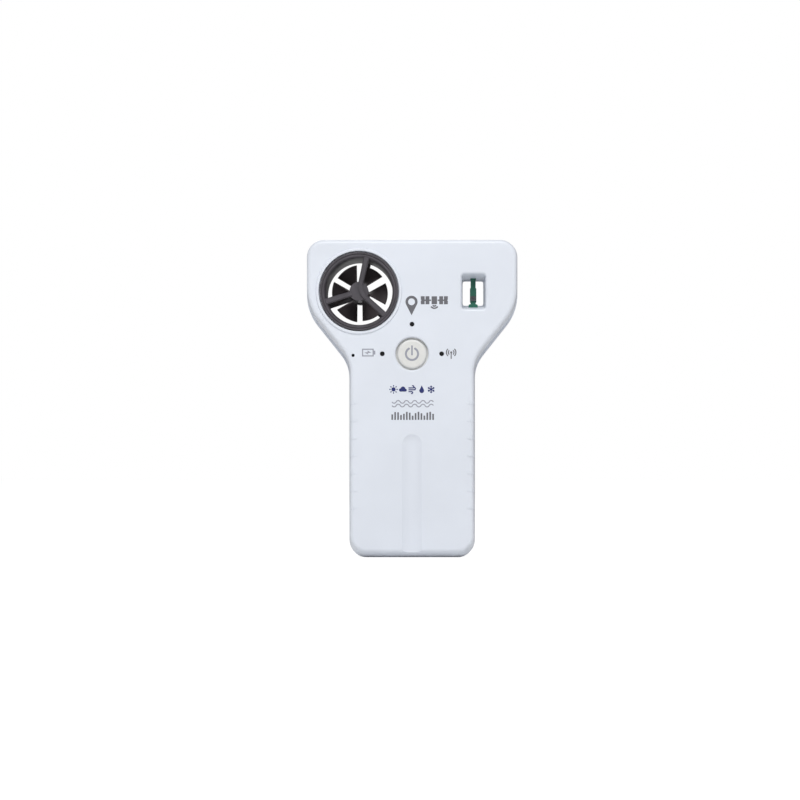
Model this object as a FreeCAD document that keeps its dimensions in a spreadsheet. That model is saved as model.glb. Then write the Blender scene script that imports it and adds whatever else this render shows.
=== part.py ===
import FreeCAD, Part
import math
import os

import Sketcher

# Hand-held wireless weather sensor, in millimetres. +Z is up the handle, +X is to the right seen
# from the front, and the front face looks towards -Y. The origin is the middle of the tripod
# thread's mouth, on the flat base. The two case halves meet on the plane y = 0, so a depth called
# "front" is counted from there towards -Y, and one called "rear" towards +Y.

SIZES = {
    # outline of the case on the parting plane
    "case_height": 140.0,
    "head_half": 46.6,
    "grip_half": 27.8,
    "neck_corner": 84.5,
    "neck_angle": 38.5,
    "corner_radius": 7.5,
    "shoulder_radius": 22.2,
    "neck_radius": 15.6,
    # case halves: depth, draft of each side, edge rounding, and the cavity inside
    "front_depth": 12.5,
    "rear_depth": 12.0,
    "wall": 2.0,
    "front_draft": 0.8,
    "front_top_draft": 1.3,
    "rear_draft": 1.2,
    "foot_flat": 7.0,
    "foot_rise": 2.9,
    "foot_trim": 0.05,
    "neck_ledge": 1.77,
    "front_edge": 1.8,
    "rear_edge": 2.0,
    "cavity_side": 2.2,
    "cavity_top": 3.4,
    "cavity_foot": 4.4,
    "rear_cavity_in": 0.4,
    # wind tunnel: sleeves in both halves, raised collar in front, loose tube between the two rings
    "wind_x": -23.15,
    "wind_z": 116.3,
    "sleeve_outer": 18.6,
    "sleeve_inner": 16.95,
    "collar_outer": 18.9,
    "collar_inner": 17.55,
    "collar_rise": 0.6,
    "tube_outer": 16.8,
    "tube_bore": 14.6,
    "seal_floor": 16.15,
    "seal_width": 1.0,
    "seal_thick": 0.4,
    "seal_inset": 2.6,
    # strut rings: a stepped flange, three arms and a hub that holds a jewel
    "ring_outer": 17.1,
    "ring_mouth": 14.9,
    "ring_thick": 2.0,
    "ring_front": 12.7,
    "ring_rear": 11.8,
    "ring_bead": 0.8,
    "ring_groove": 0.35,
    "ring_step": 0.15,
    "ring_groove_deep": 0.55,
    "ring_bevel": 0.5,
    "arm_angle": 77.3,
    "arm_start": 3.4,
    "arm_root": 2.2,
    "arm_tip": 2.6,
    "arm_deep": 2.0,
    "arm_bevel": 0.45,
    "arm_set": 0.1,
    "arm_overlap": 0.3,
    "ridge_radius": 6.5,
    "ridge_wide": 1.6,
    "hub_radius": 4.15,
    "hub_set": 0.9,
    "hub_deep": 3.6,
    "hub_bevel": 0.4,
    "jewel_radius": 1.5,
    "jewel_length": 2.0,
    "jewel_bore": 0.55,
    "jewel_bore_deep": 1.4,
    # impeller
    "blade_tip": 12.35,
    "blade_gap": 2.9,
    "blade_thick": 0.8,
    "blade_axial_tip": 3.2,
    "blade_axial_root": 2.2,
    "blade_root_in": 0.4,
    "blade_over": 0.6,
    "blade_trim": 3.0,
    "rotor_hub": 3.5,
    "rotor_bevel": 0.8,
    "rotor_front": 7.4,
    "rotor_rear": 5.4,
    "axle_radius": 0.5,
    "axle_play": 0.2,
    "axle_point": 0.3,
    "magnet_outer": 3.2,
    "magnet_length": 1.6,
    # sensor window: tapers to the parting plane from both sides
    "window_x": 26.9,
    "window_z": 116.2,
    "window_wide": 10.3,
    "window_tall": 15.4,
    "window_corner": 1.2,
    "throat_wide": 9.15,
    "throat_front_tall": 11.7,
    "throat_rear_tall": 10.7,
    "throat_lift": 0.2,
    "throat_corner": 0.9,
    "window_edge": 1.15,
    "window_wall": 2.05,
    # circuit board and the sensor strip that crosses the window in front of it
    "board_front": 3.0,
    "board_thick": 1.6,
    "board_inset": 3.2,
    "board_foot": 5.4,
    "board_top_in": 4.4,
    "board_gap": 0.4,
    "insert_gap_half": 8.5,
    "insert_gap_over": 2.0,
    "strip_thick": 0.8,
    "strip_reach": 11.4,
    "strip_neck": 1.1,
    "strip_bulge": 1.4,
    "strip_base": 2.0,
    "bulge_top": 2.0,
    "bulge_low": 3.9,
    "base_top": 4.7,
    "strip_ease": 0.4,
    "strip_slack": 0.2,
    "tongue_gap": 0.1,
    "chip_wide": 2.5,
    "chip_tall": 2.1,
    "chip_thick": 0.9,
    "chip_drop": 2.4,
    "chip_port": 0.46,
    # power button and its switch
    "button_z": 89.0,
    "button_hole": 7.15,
    "button_edge": 0.75,
    "button_cap": 6.5,
    "cap_round": 1.0,
    "button_front": 11.5,
    "button_flange": 8.1,
    "flange_front": 10.3,
    "flange_thick": 0.9,
    "button_stem": 1.6,
    "switch_half": 3.0,
    "switch_deep": 3.5,
    "plunger_radius": 1.75,
    "plunger_bore": 1.85,
    "plunger_rise": 0.7,
    "plunger_sunk": 0.7,
    "button_travel": 0.7,
    # status lights
    "light_x": 12.95,
    "gps_light_z": 101.9,
    "light_radius": 1.0,
    "light_hole": 1.05,
    "light_sunk": 0.7,
    "light_bevel": 0.15,
    "light_gap": 0.05,
    "light_flange": 1.6,
    "light_flange_thick": 0.8,
    "light_back": 4.3,
    "lamp_half_wide": 0.8,
    "lamp_half_tall": 0.4,
    "lamp_thick": 0.8,
    # barometer vent
    "vent_x": -25.7,
    "vent_z": 88.3,
    "vent_hole": 0.7,
    "vent_disc": 1.05,
    "vent_thick": 0.3,
    # handle: groove in front, small ribs round the two front edges
    "groove_half": 4.2,
    "groove_deep": 1.1,
    "groove_top": 53.9,
    "rib_top": 67.45,
    "rib_pitch": 7.62,
    "rib_tall": 0.8,
    "rib_rise": 0.3,
    "rib_reach": 3.2,
    "rib_start": 5.0,
    "rib_sunk": 0.8,
    # fixings
    "screw_low_x": 22.0,
    "screw_low_z": 13.0,
    "screw_high_x": 40.8,
    "screw_high_z": 133.2,
    "boss_radius": 2.9,
    "screw_shank": 1.0,
    "screw_head": 2.0,
    "screw_head_tall": 1.7,
    "screw_seat": 6.5,
    "screw_reach": 7.0,
    "sink_radius": 2.2,
    "board_boss": 2.0,
    "board_shank": 0.75,
    "board_head": 1.6,
    "board_head_tall": 1.0,
    "board_screw_reach": 8.0,
    "board_low_x": 20.5,
    "board_low_z": 30.0,
    "board_top_x": 2.5,
    "board_top_z": 131.8,
    "board_side_x": 34.5,
    "board_side_z": 104.5,
    "screw_floor": 1.0,
    "fixing_slack": 0.1,
    "press_gap": 0.02,
    "overrun": 1.0,
    # tripod insert, 1/4-20
    "insert_radius": 5.0,
    "insert_tall": 12.0,
    "insert_bore": 2.6,
    "insert_depth": 10.0,
    "insert_flange": 6.4,
    "insert_flange_thick": 1.6,
    # charging socket
    "socket_x": 15.0,
    "socket_y": -4.7,
    "socket_wide": 9.0,
    "socket_thick": 3.2,
    "socket_low": 1.2,
    "socket_tall": 7.2,
    "socket_wall": 0.3,
    "socket_deep": 5.4,
    "socket_tongue_wide": 6.6,
    "socket_tongue_thick": 0.7,
    "socket_gap": 0.35,
    "socket_tongue_set": 0.8,
    # battery
    "battery_half": 17.0,
    "battery_low": 18.0,
    "battery_high": 68.0,
    "battery_near": 2.0,
    "battery_far": 9.0,
    "battery_corner": 1.2,
    "foam_side_in": 3.0,
    "foam_end_in": 5.0,
    "lead_radius": 0.5,
    "lead_y": 5.0,
    "plug_y": 0.3,
    "lead_red_x": -5.5,
    "lead_black_x": -3.5,
    "lead_turn_low": 74.0,
    "lead_turn_high": 79.5,
    "plug_low": 85.5,
    "plug_tall": 3.4,
    "plug_half": 2.9,
    "plug_lift": 0.4,
    "plug_deep": 2.4,
    "connector_side": 0.6,
    "connector_set": 1.2,
    "connector_end": 1.6,
    # rear label
    "label_half": 17.0,
    "label_low": 24.0,
    "label_high": 64.0,
    "label_corner": 2.0,
    "label_thick": 0.2,
    "label_recess": 0.3,
    "label_gap": 0.2,
}
RIB_COUNT = 7
BLADE_COUNT = 6
ARM_COUNT = 3


def make_sheet(document):
    """The driving sizes, one alias to a cell."""
    table = document.addObject("Spreadsheet::Sheet", "Sizes")
    for row, (alias, value) in enumerate(SIZES.items(), start=1):
        table.set(f"A{row}", alias.replace("_", " "))
        table.set(f"B{row}", str(value))
        table.setAlias(f"B{row}", alias)
    document.recompute()
    return table


doc = FreeCAD.newDocument("weather_sensor")
sheet = make_sheet(doc)
subparts = []


def bind(expression):
    """An expression with the sheet's name put in front of each alias."""
    pieces = []
    word = ""
    for letter in str(expression) + " ":
        if letter.isalnum() or letter == "_":
            word += letter
            continue
        pieces.append("Sizes." + word if word in SIZES else word)
        pieces.append(letter)
        word = ""
    return "".join(pieces).strip()


def value(expression):
    """The number that an expression on the sheet comes to."""
    result = sheet.evalExpression(bind(expression))
    return float(getattr(result, "Value", result))


def name_piece(item, label):
    """Give a finished piece its label and put it on the list of sub-parts."""
    item.Label = label
    subparts.append(item)
    return item


def place(item, x="0", y="0", z="0"):
    """Bind an object's place to the sheet."""
    for axis, expression in (("x", x), ("y", y), ("z", z)):
        item.setExpression(f"Placement.Base.{axis}", bind(expression))
    return item


# ---- sketches ----

def new_body(name):
    return doc.addObject("PartDesign::Body", name + "_body")


def make_sketch(body, name, plane, offset="0"):
    """A sketch on one of the body's own origin planes, moved along the plane's normal."""
    sketch = body.newObject("Sketcher::SketchObject", name)
    base = next(item for item in body.Origin.OriginFeatures if item.Role == plane)
    sketch.AttachmentSupport = [(base, "")]
    sketch.MapMode = "FlatFace"
    sketch.setExpression("AttachmentOffset.Base.z", bind(offset))
    return sketch


def front_sketch(body, name, towards_front="0"):
    """A sketch in x and z at y = -towards_front."""
    return make_sketch(body, name, "XZ_Plane", towards_front)


def hold(sketch, kind, *items):
    """A constraint whose last item is an expression on the sheet."""
    *where, expression = items
    index = sketch.addConstraint(Sketcher.Constraint(kind, *where, value(expression)))
    sketch.setExpression(f"Constraints[{index}]", bind(expression))


def hold_point(sketch, geometry, point, across, up):
    """Fix a point of a sketch by its two distances from the sketch's origin."""
    hold(sketch, "DistanceX", -1, 1, geometry, point, across)
    hold(sketch, "DistanceY", -1, 1, geometry, point, up)


def flat(across, up):
    return FreeCAD.Vector(across, up, 0)


def draw_circle(sketch, across, up, radius):
    ring = Part.Circle(flat(value(across), value(up)), flat(0, 0) + FreeCAD.Vector(0, 0, 1), value(radius))
    index = sketch.addGeometry(ring, False)
    hold(sketch, "Radius", index, radius)
    hold_point(sketch, index, 3, across, up)


def draw_polygon(sketch, corners):
    """A closed outline of straight lines through corners given as pairs of expressions."""
    points = [flat(value(across), value(up)) for across, up in corners]
    first = sketch.GeometryCount
    count = len(points)
    for index in range(count):
        sketch.addGeometry(Part.LineSegment(points[index], points[(index + 1) % count]), False)
    for index in range(count):
        following = first + (index + 1) % count
        sketch.addConstraint(Sketcher.Constraint("Coincident", first + index, 2, following, 1))
    for index, (across, up) in enumerate(corners):
        hold_point(sketch, first + index, 1, across, up)


def draw_rectangle(sketch, left, right, low, high):
    draw_polygon(sketch, [(left, low), (right, low), (right, high), (left, high)])


def arc_between(centre, radius, start, end):
    """An arc that runs counter-clockwise from one angle to the other, in degrees."""
    circle = Part.Circle(centre, FreeCAD.Vector(0, 0, 1), radius)
    return Part.ArcOfCircle(circle, math.radians(start), math.radians(end))


def draw_rounded_rectangle(sketch, across, up, wide, tall, corner):
    """A rectangle with equal round corners, held by its middle and its size."""
    x, z = value(across), value(up)
    half_x, half_z, radius = value(wide) / 2, value(tall) / 2, value(corner)
    inner_x, inner_z = half_x - radius, half_z - radius
    first = sketch.GeometryCount
    sides = [
        ((-inner_x, -half_z), (inner_x, -half_z)),
        ((half_x, -inner_z), (half_x, inner_z)),
        ((inner_x, half_z), (-inner_x, half_z)),
        ((-half_x, inner_z), (-half_x, -inner_z)),
    ]
    centres = [(inner_x, -inner_z), (inner_x, inner_z), (-inner_x, inner_z), (-inner_x, -inner_z)]
    for index, (start, end) in enumerate(sides):
        sketch.addGeometry(Part.LineSegment(flat(x + start[0], z + start[1]),
                                            flat(x + end[0], z + end[1])), False)
        middle = flat(x + centres[index][0], z + centres[index][1])
        sketch.addGeometry(arc_between(middle, radius, 90 * index - 90, 90 * index), False)
    for index in range(4):
        line = first + 2 * index
        arc = line + 1
        following = first + (2 * index + 2) % 8
        sketch.addConstraint(Sketcher.Constraint("Tangent", line, 2, arc, 1))
        sketch.addConstraint(Sketcher.Constraint("Tangent", arc, 2, following, 1))
        hold(sketch, "Radius", arc, corner)
    sketch.addConstraint(Sketcher.Constraint("Horizontal", first))
    hold(sketch, "DistanceY", -1, 1, first, 1, f"{up} - {tall} / 2")
    hold(sketch, "DistanceX", -1, 1, first + 2, 1, f"{across} + {wide} / 2")
    hold(sketch, "DistanceY", -1, 1, first + 4, 1, f"{up} + {tall} / 2")
    hold(sketch, "DistanceX", -1, 1, first + 6, 1, f"{across} - ({wide}) / 2")
    for index in (2, 4):
        kind = "Vertical" if index == 2 else "Horizontal"
        sketch.addConstraint(Sketcher.Constraint(kind, first + index))


def draw_case_outline(sketch, side="0", foot="0", top="0", ledge="0"):
    """The case outline, drawn inwards by side, foot and top, with the neck moved up by ledge."""
    half_turn = "tan(neck_angle * 1deg / 2)"
    neck_start = f"neck_corner + ({side}) * {half_turn} + ({ledge}) - (neck_radius + {side}) * {half_turn}"
    angle = value("neck_angle")
    slope_across, slope_up = math.sin(math.radians(angle)), math.cos(math.radians(angle))
    lean = math.tan(math.radians(angle) / 2)
    corner = value("corner_radius")
    neck = value(f"neck_radius + {side}")
    shoulder = value(f"shoulder_radius - ({side})")
    grip = value(f"grip_half - ({side})")
    head = value(f"head_half - ({side})")
    low = value(foot)
    high = value(f"case_height - ({top})")
    bend = value(neck_start)
    neck_tip = bend + neck * lean
    shoulder_tip = neck_tip + (head - grip) * slope_up / slope_across
    for hand in (1, -1):
        first = sketch.GeometryCount

        def mirrored(across, up):
            return flat(hand * across, up)

        def arc(across, up, radius, start, end):
            if hand < 0:
                start, end = 180 - end, 180 - start
            return arc_between(mirrored(across, up), radius, start, end)

        neck_end = mirrored(grip + neck * lean * slope_across, neck_tip + neck * lean * slope_up)
        shoulder_start = mirrored(head - shoulder * lean * slope_across,
                                  shoulder_tip - shoulder * lean * slope_up)
        shoulder_end = shoulder_tip + shoulder * lean
        sketch.addGeometry([
            arc(grip - corner, low + corner, corner, -90, 0),
            Part.LineSegment(mirrored(grip, low + corner), mirrored(grip, bend)),
            arc(grip + neck, bend, neck, 180 - angle, 180),
            Part.LineSegment(neck_end, shoulder_start),
            arc(head - shoulder, shoulder_end, shoulder, -angle, 0),
            Part.LineSegment(mirrored(head, shoulder_end), mirrored(head, high - corner)),
            arc(head - corner, high - corner, corner, 0, 90),
        ], False)
        near, far = (1, 2) if hand > 0 else (2, 1)
        joins = [
            (0, far, 1, 1), (1, 2, 2, far), (2, near, 3, 1),
            (3, 2, 4, near), (4, far, 5, 1), (5, 2, 6, near),
        ]
        for one, one_end, other, other_end in joins:
            link = Sketcher.Constraint("Tangent", first + one, one_end, first + other, other_end)
            sketch.addConstraint(link)
        for line in (1, 5):
            sketch.addConstraint(Sketcher.Constraint("Vertical", first + line))
        for corner_arc in (0, 6):
            hold(sketch, "Radius", first + corner_arc, "corner_radius")
        hold(sketch, "Radius", first + 2, f"neck_radius + {side}")
        hold(sketch, "Radius", first + 4, f"shoulder_radius - ({side})")
        hold(sketch, "DistanceX", -1, 1, first + 1, 1, f"{hand} * (grip_half - ({side}))")
        hold(sketch, "DistanceX", -1, 1, first + 5, 1, f"{hand} * (head_half - ({side}))")
        hold(sketch, "DistanceY", -1, 1, first + 1, 2, neck_start)
        tilt = sketch.addConstraint(Sketcher.Constraint("Angle", first + 3,
                                                        math.radians(90 - hand * angle)))
        sketch.setExpression(f"Constraints[{tilt}]", f"(90 - {hand} * Sizes.neck_angle) * 1deg")
    for height, arc_index, points in ((low, 0, (1, 2)), (high, 6, (2, 1))):
        across = (grip if height == low else head) - corner
        line = sketch.addGeometry(Part.LineSegment(flat(across, height), flat(-across, height)), False)
        sketch.addConstraint(Sketcher.Constraint("Tangent", arc_index, points[0], line, 1))
        sketch.addConstraint(Sketcher.Constraint("Tangent", arc_index + 7, points[1], line, 2))
        sketch.addConstraint(Sketcher.Constraint("Horizontal", line))
        hold(sketch, "DistanceY", -1, 1, line, 1, foot if height == low else f"case_height - ({top})")


# ---- features ----

def run(feature):
    """Recompute, and stop at the first feature that fails."""
    doc.recompute()
    if "Invalid" in feature.State or feature.Shape.isNull() or not feature.Shape.isValid():
        raise RuntimeError(f"{feature.Name} failed")
    return feature


def pad(body, sketch, length, reverse=False):
    """Add material along the sketch's normal, or against it."""
    feature = body.newObject("PartDesign::Pad", sketch.Name + "_pad")
    feature.Profile = sketch
    feature.Reversed = reverse
    feature.setExpression("Length", bind(length))
    return run(feature)


def pocket(body, sketch, length, along_normal=False):
    """Cut material against the sketch's normal, or along it, and make sure that it cuts."""
    before = body.Shape.Volume
    feature = body.newObject("PartDesign::Pocket", sketch.Name + "_pocket")
    feature.Profile = sketch
    feature.Reversed = along_normal
    feature.setExpression("Length", bind(length))
    run(feature)
    if feature.Shape.Volume >= before - 1e-6:
        raise RuntimeError(f"{feature.Name} cuts nothing")
    return feature


def loft(body, kind, sections):
    feature = body.newObject(f"PartDesign::{kind}Loft", sections[0].Name + "_loft")
    feature.Profile = sections[0]
    feature.Sections = sections[1:]
    feature.Ruled = True
    return run(feature)


def edge_names(shape, wanted):
    return [f"Edge{index}" for index, edge in enumerate(shape.Edges, start=1) if wanted(edge)]


def fillet(body, radius, wanted):
    """Round the edges of the body's latest shape that the test picks."""
    base = body.Tip
    feature = body.newObject("PartDesign::Fillet", base.Name + "_round")
    feature.Base = (base, edge_names(base.Shape, wanted))
    feature.setExpression("Radius", bind(radius))
    return run(feature)


def polar_copies(body, feature, axis_role, count):
    """Repeat a feature evenly round one of the body's own axes."""
    axis = next(item for item in body.Origin.OriginFeatures if item.Role == axis_role)
    pattern = body.newObject("PartDesign::PolarPattern", feature.Name + "_copies")
    pattern.Originals = [feature]
    pattern.Axis = (axis, [""])
    pattern.Angle = 360
    pattern.Occurrences = count
    body.Tip = pattern
    return run(pattern)


def on_plane(edge, axis, level):
    """True where an edge lies on the plane at that level of the axis."""
    box = edge.BoundBox
    low, high = getattr(box, axis + "Min"), getattr(box, axis + "Max")
    return abs(low - level) < 1e-4 and abs(high - level) < 1e-4


def turn(label, profile, x="0", z="0"):
    """A turned piece: a profile in radius and y, revolved about an axis along Y at x, z."""
    body = new_body(label)
    sketch = make_sketch(body, label + "_profile", "XY_Plane")
    draw_polygon(sketch, profile)
    feature = body.newObject("PartDesign::Revolution", label + "_turned")
    feature.Profile = sketch
    feature.ReferenceAxis = (sketch, ["V_Axis"])
    run(feature)
    place(body, x, "0", z)
    return body


def block(name, left, right, near, far, low, high):
    """A box between two places on each axis."""
    item = doc.addObject("Part::Box", name)
    item.setExpression("Length", bind(f"({right}) - ({left})"))
    item.setExpression("Width", bind(f"({far}) - ({near})"))
    item.setExpression("Height", bind(f"({high}) - ({low})"))
    return place(item, left, near, low)


def upright(name, radius, low, high, x="0", y="0"):
    """A cylinder along Z."""
    item = doc.addObject("Part::Cylinder", name)
    item.setExpression("Radius", bind(radius))
    item.setExpression("Height", bind(f"({high}) - ({low})"))
    return place(item, x, y, low)


def level(name, radius, near, far, x="0", z="0"):
    """A cylinder along Y."""
    item = doc.addObject("Part::Cylinder", name)
    item.setExpression("Radius", bind(radius))
    item.setExpression("Height", bind(f"({far}) - ({near})"))
    item.Placement.Rotation = FreeCAD.Rotation(FreeCAD.Vector(1, 0, 0), -90)
    return place(item, x, near, z)


def fuse(name, *pieces):
    item = doc.addObject("Part::MultiFuse", name)
    item.Shapes = list(pieces)
    return item


def cut(name, base, *tools):
    item = doc.addObject("Part::Cut", name)
    item.Base = base
    item.Tool = tools[0] if len(tools) == 1 else fuse(name + "_tools", *tools)
    return item


def group(name, pieces):
    """Like pieces kept as separate solids in one node."""
    item = doc.addObject("Part::Compound", name)
    item.Links = pieces
    return item


# ---- case halves ----

CASE_SCREWS = [
    ("screw_low_x", "screw_low_z"), ("-screw_low_x", "screw_low_z"),
    ("screw_high_x", "screw_high_z"), ("-screw_high_x", "screw_high_z"),
]
BOARD_SCREWS = [
    ("board_low_x", "board_low_z"), ("-board_low_x", "board_low_z"),
    ("board_top_x", "board_top_z"), ("board_side_x", "board_side_z"),
]


def trim_foot(body):
    """Cut the foot flat on the base plane, so that the case stands on a true plane."""
    sketch = make_sketch(body, body.Name + "_foot_trim", "XY_Plane")
    draw_rectangle(sketch, "-head_half", "head_half", "-front_depth - overrun", "rear_depth + overrun")
    pocket(body, sketch, "overrun")


def draw_window_wall(sketch):
    """The outside of the wall round the sensor window."""
    draw_rounded_rectangle(sketch, "window_x", "window_z", "(window_wide + 2 * window_wall)",
                           "(window_tall + 2 * window_wall)", "window_corner")


def cut_window(body, name, depth, sign, throat_tall):
    """Cut the tapered window from the outer face to the parting plane and round its mouth."""
    mouth = front_sketch(body, name + "_mouth", f"{sign} * {depth}")
    draw_rounded_rectangle(mouth, "window_x", "window_z", "window_wide", "window_tall", "window_corner")
    throat = front_sketch(body, name + "_throat")
    draw_rounded_rectangle(throat, "window_x", "(window_z + throat_lift)", "throat_wide", throat_tall,
                           "throat_corner")
    loft(body, "Subtractive", [mouth, throat])
    face = -sign * value(depth)
    reach = value("window_tall")

    def on_mouth(edge):
        middle = edge.BoundBox.Center
        off = abs(middle.x - value("window_x")) + abs(middle.z - value("window_z"))
        return on_plane(edge, "Y", face) and off < reach and edge.BoundBox.DiagonalLength < reach

    fillet(body, "window_edge", on_mouth)


def make_front_shell():
    """Front half: drafted sides, sloped toe, collar, window, button and light holes, ribs, groove."""
    body = new_body("front_shell")
    parting = front_sketch(body, "front_parting")
    draw_case_outline(parting, foot="-foot_trim", ledge="neck_ledge")
    waist = front_sketch(body, "front_waist", "foot_flat")
    share = "foot_flat / front_depth"
    draw_case_outline(waist, side=f"front_draft * {share}", foot="-foot_trim",
                      top=f"front_top_draft * {share}", ledge="neck_ledge")
    face = front_sketch(body, "front_face", "front_depth")
    draw_case_outline(face, side="front_draft", foot="foot_rise", top="front_top_draft",
                      ledge="neck_ledge")
    loft(body, "Additive", [parting, waist, face])
    fillet(body, "front_edge", lambda edge: on_plane(edge, "Y", -value("front_depth")))
    trim_foot(body)

    cavity = front_sketch(body, "front_cavity")
    draw_case_outline(cavity, side="cavity_side", foot="cavity_foot", top="cavity_top",
                      ledge="neck_ledge")
    pocket(body, cavity, "front_depth - wall", along_normal=True)

    walls = front_sketch(body, "front_walls")
    draw_circle(walls, "wind_x", "wind_z", "sleeve_outer")
    draw_window_wall(walls)
    for x, z in CASE_SCREWS:
        draw_circle(walls, x, z, "boss_radius")
    pad(body, walls, "front_depth - wall / 2")
    pillars = front_sketch(body, "front_board_pillars", "board_front")
    for x, z in BOARD_SCREWS:
        draw_circle(pillars, x, z, "board_boss")
    pad(body, pillars, "front_depth - board_front - wall / 2")
    collar = front_sketch(body, "front_collar", "front_depth - wall / 2")
    draw_circle(collar, "wind_x", "wind_z", "collar_outer")
    pad(body, collar, "wall / 2 + collar_rise")
    fillet(body, "collar_rise * 0.9",
           lambda edge: on_plane(edge, "Y", -value("front_depth + collar_rise")))

    bore = front_sketch(body, "front_bore")
    draw_circle(bore, "wind_x", "wind_z", "sleeve_inner")
    pocket(body, bore, "front_depth + overrun", along_normal=True)
    seat = front_sketch(body, "front_ring_seat", "ring_front - ring_thick")
    draw_circle(seat, "wind_x", "wind_z", "collar_inner")
    pocket(body, seat, "wall + overrun", along_normal=True)
    fillet(body, "collar_rise * 0.5",
           lambda edge: on_plane(edge, "Y", -value("front_depth + collar_rise")))

    holes = front_sketch(body, "front_holes", "front_depth - wall - overrun")
    draw_circle(holes, "0", "button_z", "button_hole")
    pocket(body, holes, "wall + 2 * overrun", along_normal=True)
    fillet(body, "button_edge",
           lambda edge: on_plane(edge, "Y", -value("front_depth"))
           and abs(edge.BoundBox.Center.z - value("button_z")) < 1e-3
           and edge.BoundBox.XLength < 2.1 * value("button_hole"))
    small = front_sketch(body, "front_small_holes", "front_depth - wall - overrun")
    for x, z, radius in (("light_x", "button_z", "light_hole"), ("-light_x", "button_z", "light_hole"),
                         ("0", "gps_light_z", "light_hole"), ("vent_x", "vent_z", "vent_hole")):
        draw_circle(small, x, z, radius)
    pocket(body, small, "wall + 2 * overrun", along_normal=True)
    threads = front_sketch(body, "front_screw_holes")
    for x, z in CASE_SCREWS:
        draw_circle(threads, x, z, "screw_shank + press_gap")
    for x, z in BOARD_SCREWS:
        draw_circle(threads, x, z, "board_shank + press_gap")
    pocket(body, threads, "front_depth - wall - screw_floor", along_normal=True)

    cut_window(body, "front_window", "front_depth", 1, "throat_front_tall")
    slots = front_sketch(body, "front_strip_slots")
    half = "window_tall / 2 + window_wall + overrun"
    slack = "strip_slack"
    draw_rectangle(slots, f"window_x - strip_neck - {slack}", f"window_x + strip_neck + {slack}",
                   "window_z", f"window_z + {half}")
    pocket(body, slots, "board_front + strip_thick + tongue_gap", along_normal=True)
    low_slot = front_sketch(body, "front_strip_low_slot")
    draw_rectangle(low_slot, f"window_x - strip_base - {slack}", f"window_x + strip_base + {slack}",
                   f"window_z - ({half})", "window_z")
    pocket(body, low_slot, "board_front + strip_thick + tongue_gap", along_normal=True)

    add_ribs(body)
    cut_handle_groove(body)
    cut_foot_openings(body)
    name_piece(body, "front_shell")


def add_ribs(body):
    """Seven low ribs on each side that wrap the handle's front edge."""
    sketch = make_sketch(body, "rib_section", "XY_Plane", "rib_top - rib_tall / 2")
    side_start = "grip_half - front_draft * rib_start / front_depth"
    side_end = "grip_half - front_draft"
    bend = "front_depth - front_edge"
    for hand in (1, -1):
        first = sketch.GeometryCount
        outer = [
            (f"{side_start} + rib_rise * 0.2", "-rib_start"),
            (f"{side_end} + rib_rise", f"-({bend})"),
            (f"{side_end} - front_edge", "-(front_depth + rib_rise)"),
            (f"{side_end} - rib_reach", "-(front_depth + rib_rise * 0.2)"),
            (f"{side_end} - rib_reach", "-(front_depth - rib_sunk)"),
            (f"{side_end} - front_edge", "-(front_depth - rib_sunk)"),
            (f"{side_end} - rib_sunk", f"-({bend})"),
            (f"{side_start} - rib_sunk", "-rib_start"),
        ]
        points = [flat(hand * value(x), value(y)) for x, y in outer]
        radius = value("front_edge + rib_rise")
        middle = flat(hand * value(f"{side_end} - front_edge"), -value(bend))
        count = len(points)
        for index in range(count):
            following = points[(index + 1) % count]
            if index == 1:
                start, end = (-90, 0) if hand > 0 else (180, 270)
                sketch.addGeometry(arc_between(middle, radius, start, end), False)
            else:
                sketch.addGeometry(Part.LineSegment(points[index], following), False)
        arc = first + 1
        arc_start, arc_end = (2, 1) if hand > 0 else (1, 2)
        sketch.addConstraint(Sketcher.Constraint("Coincident", first, 2, arc, arc_start))
        sketch.addConstraint(Sketcher.Constraint("Coincident", arc, arc_end, first + 2, 1))
        for index in range(2, count):
            following = first + (index + 1) % count
            sketch.addConstraint(Sketcher.Constraint("Coincident", first + index, 2, following, 1))
        for index, (x, y) in enumerate(outer):
            if index == 1:
                hold_point(sketch, first, 2, f"{hand} * ({x})", y)
            else:
                hold_point(sketch, first + index, 1, f"{hand} * ({x})", y)
        hold(sketch, "Radius", arc, "front_edge + rib_rise")
    ribs = pad(body, sketch, "rib_tall")
    axis = next(item for item in body.Origin.OriginFeatures if item.Role == "Z_Axis")
    pattern = body.newObject("PartDesign::LinearPattern", "rib_copies")
    pattern.Originals = [ribs]
    pattern.Direction = (axis, [""])
    pattern.Reversed = True
    pattern.Mode = "Spacing"
    pattern.setExpression("Offset", bind("rib_pitch"))
    pattern.Occurrences = RIB_COUNT
    body.Tip = pattern
    run(pattern)


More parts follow.
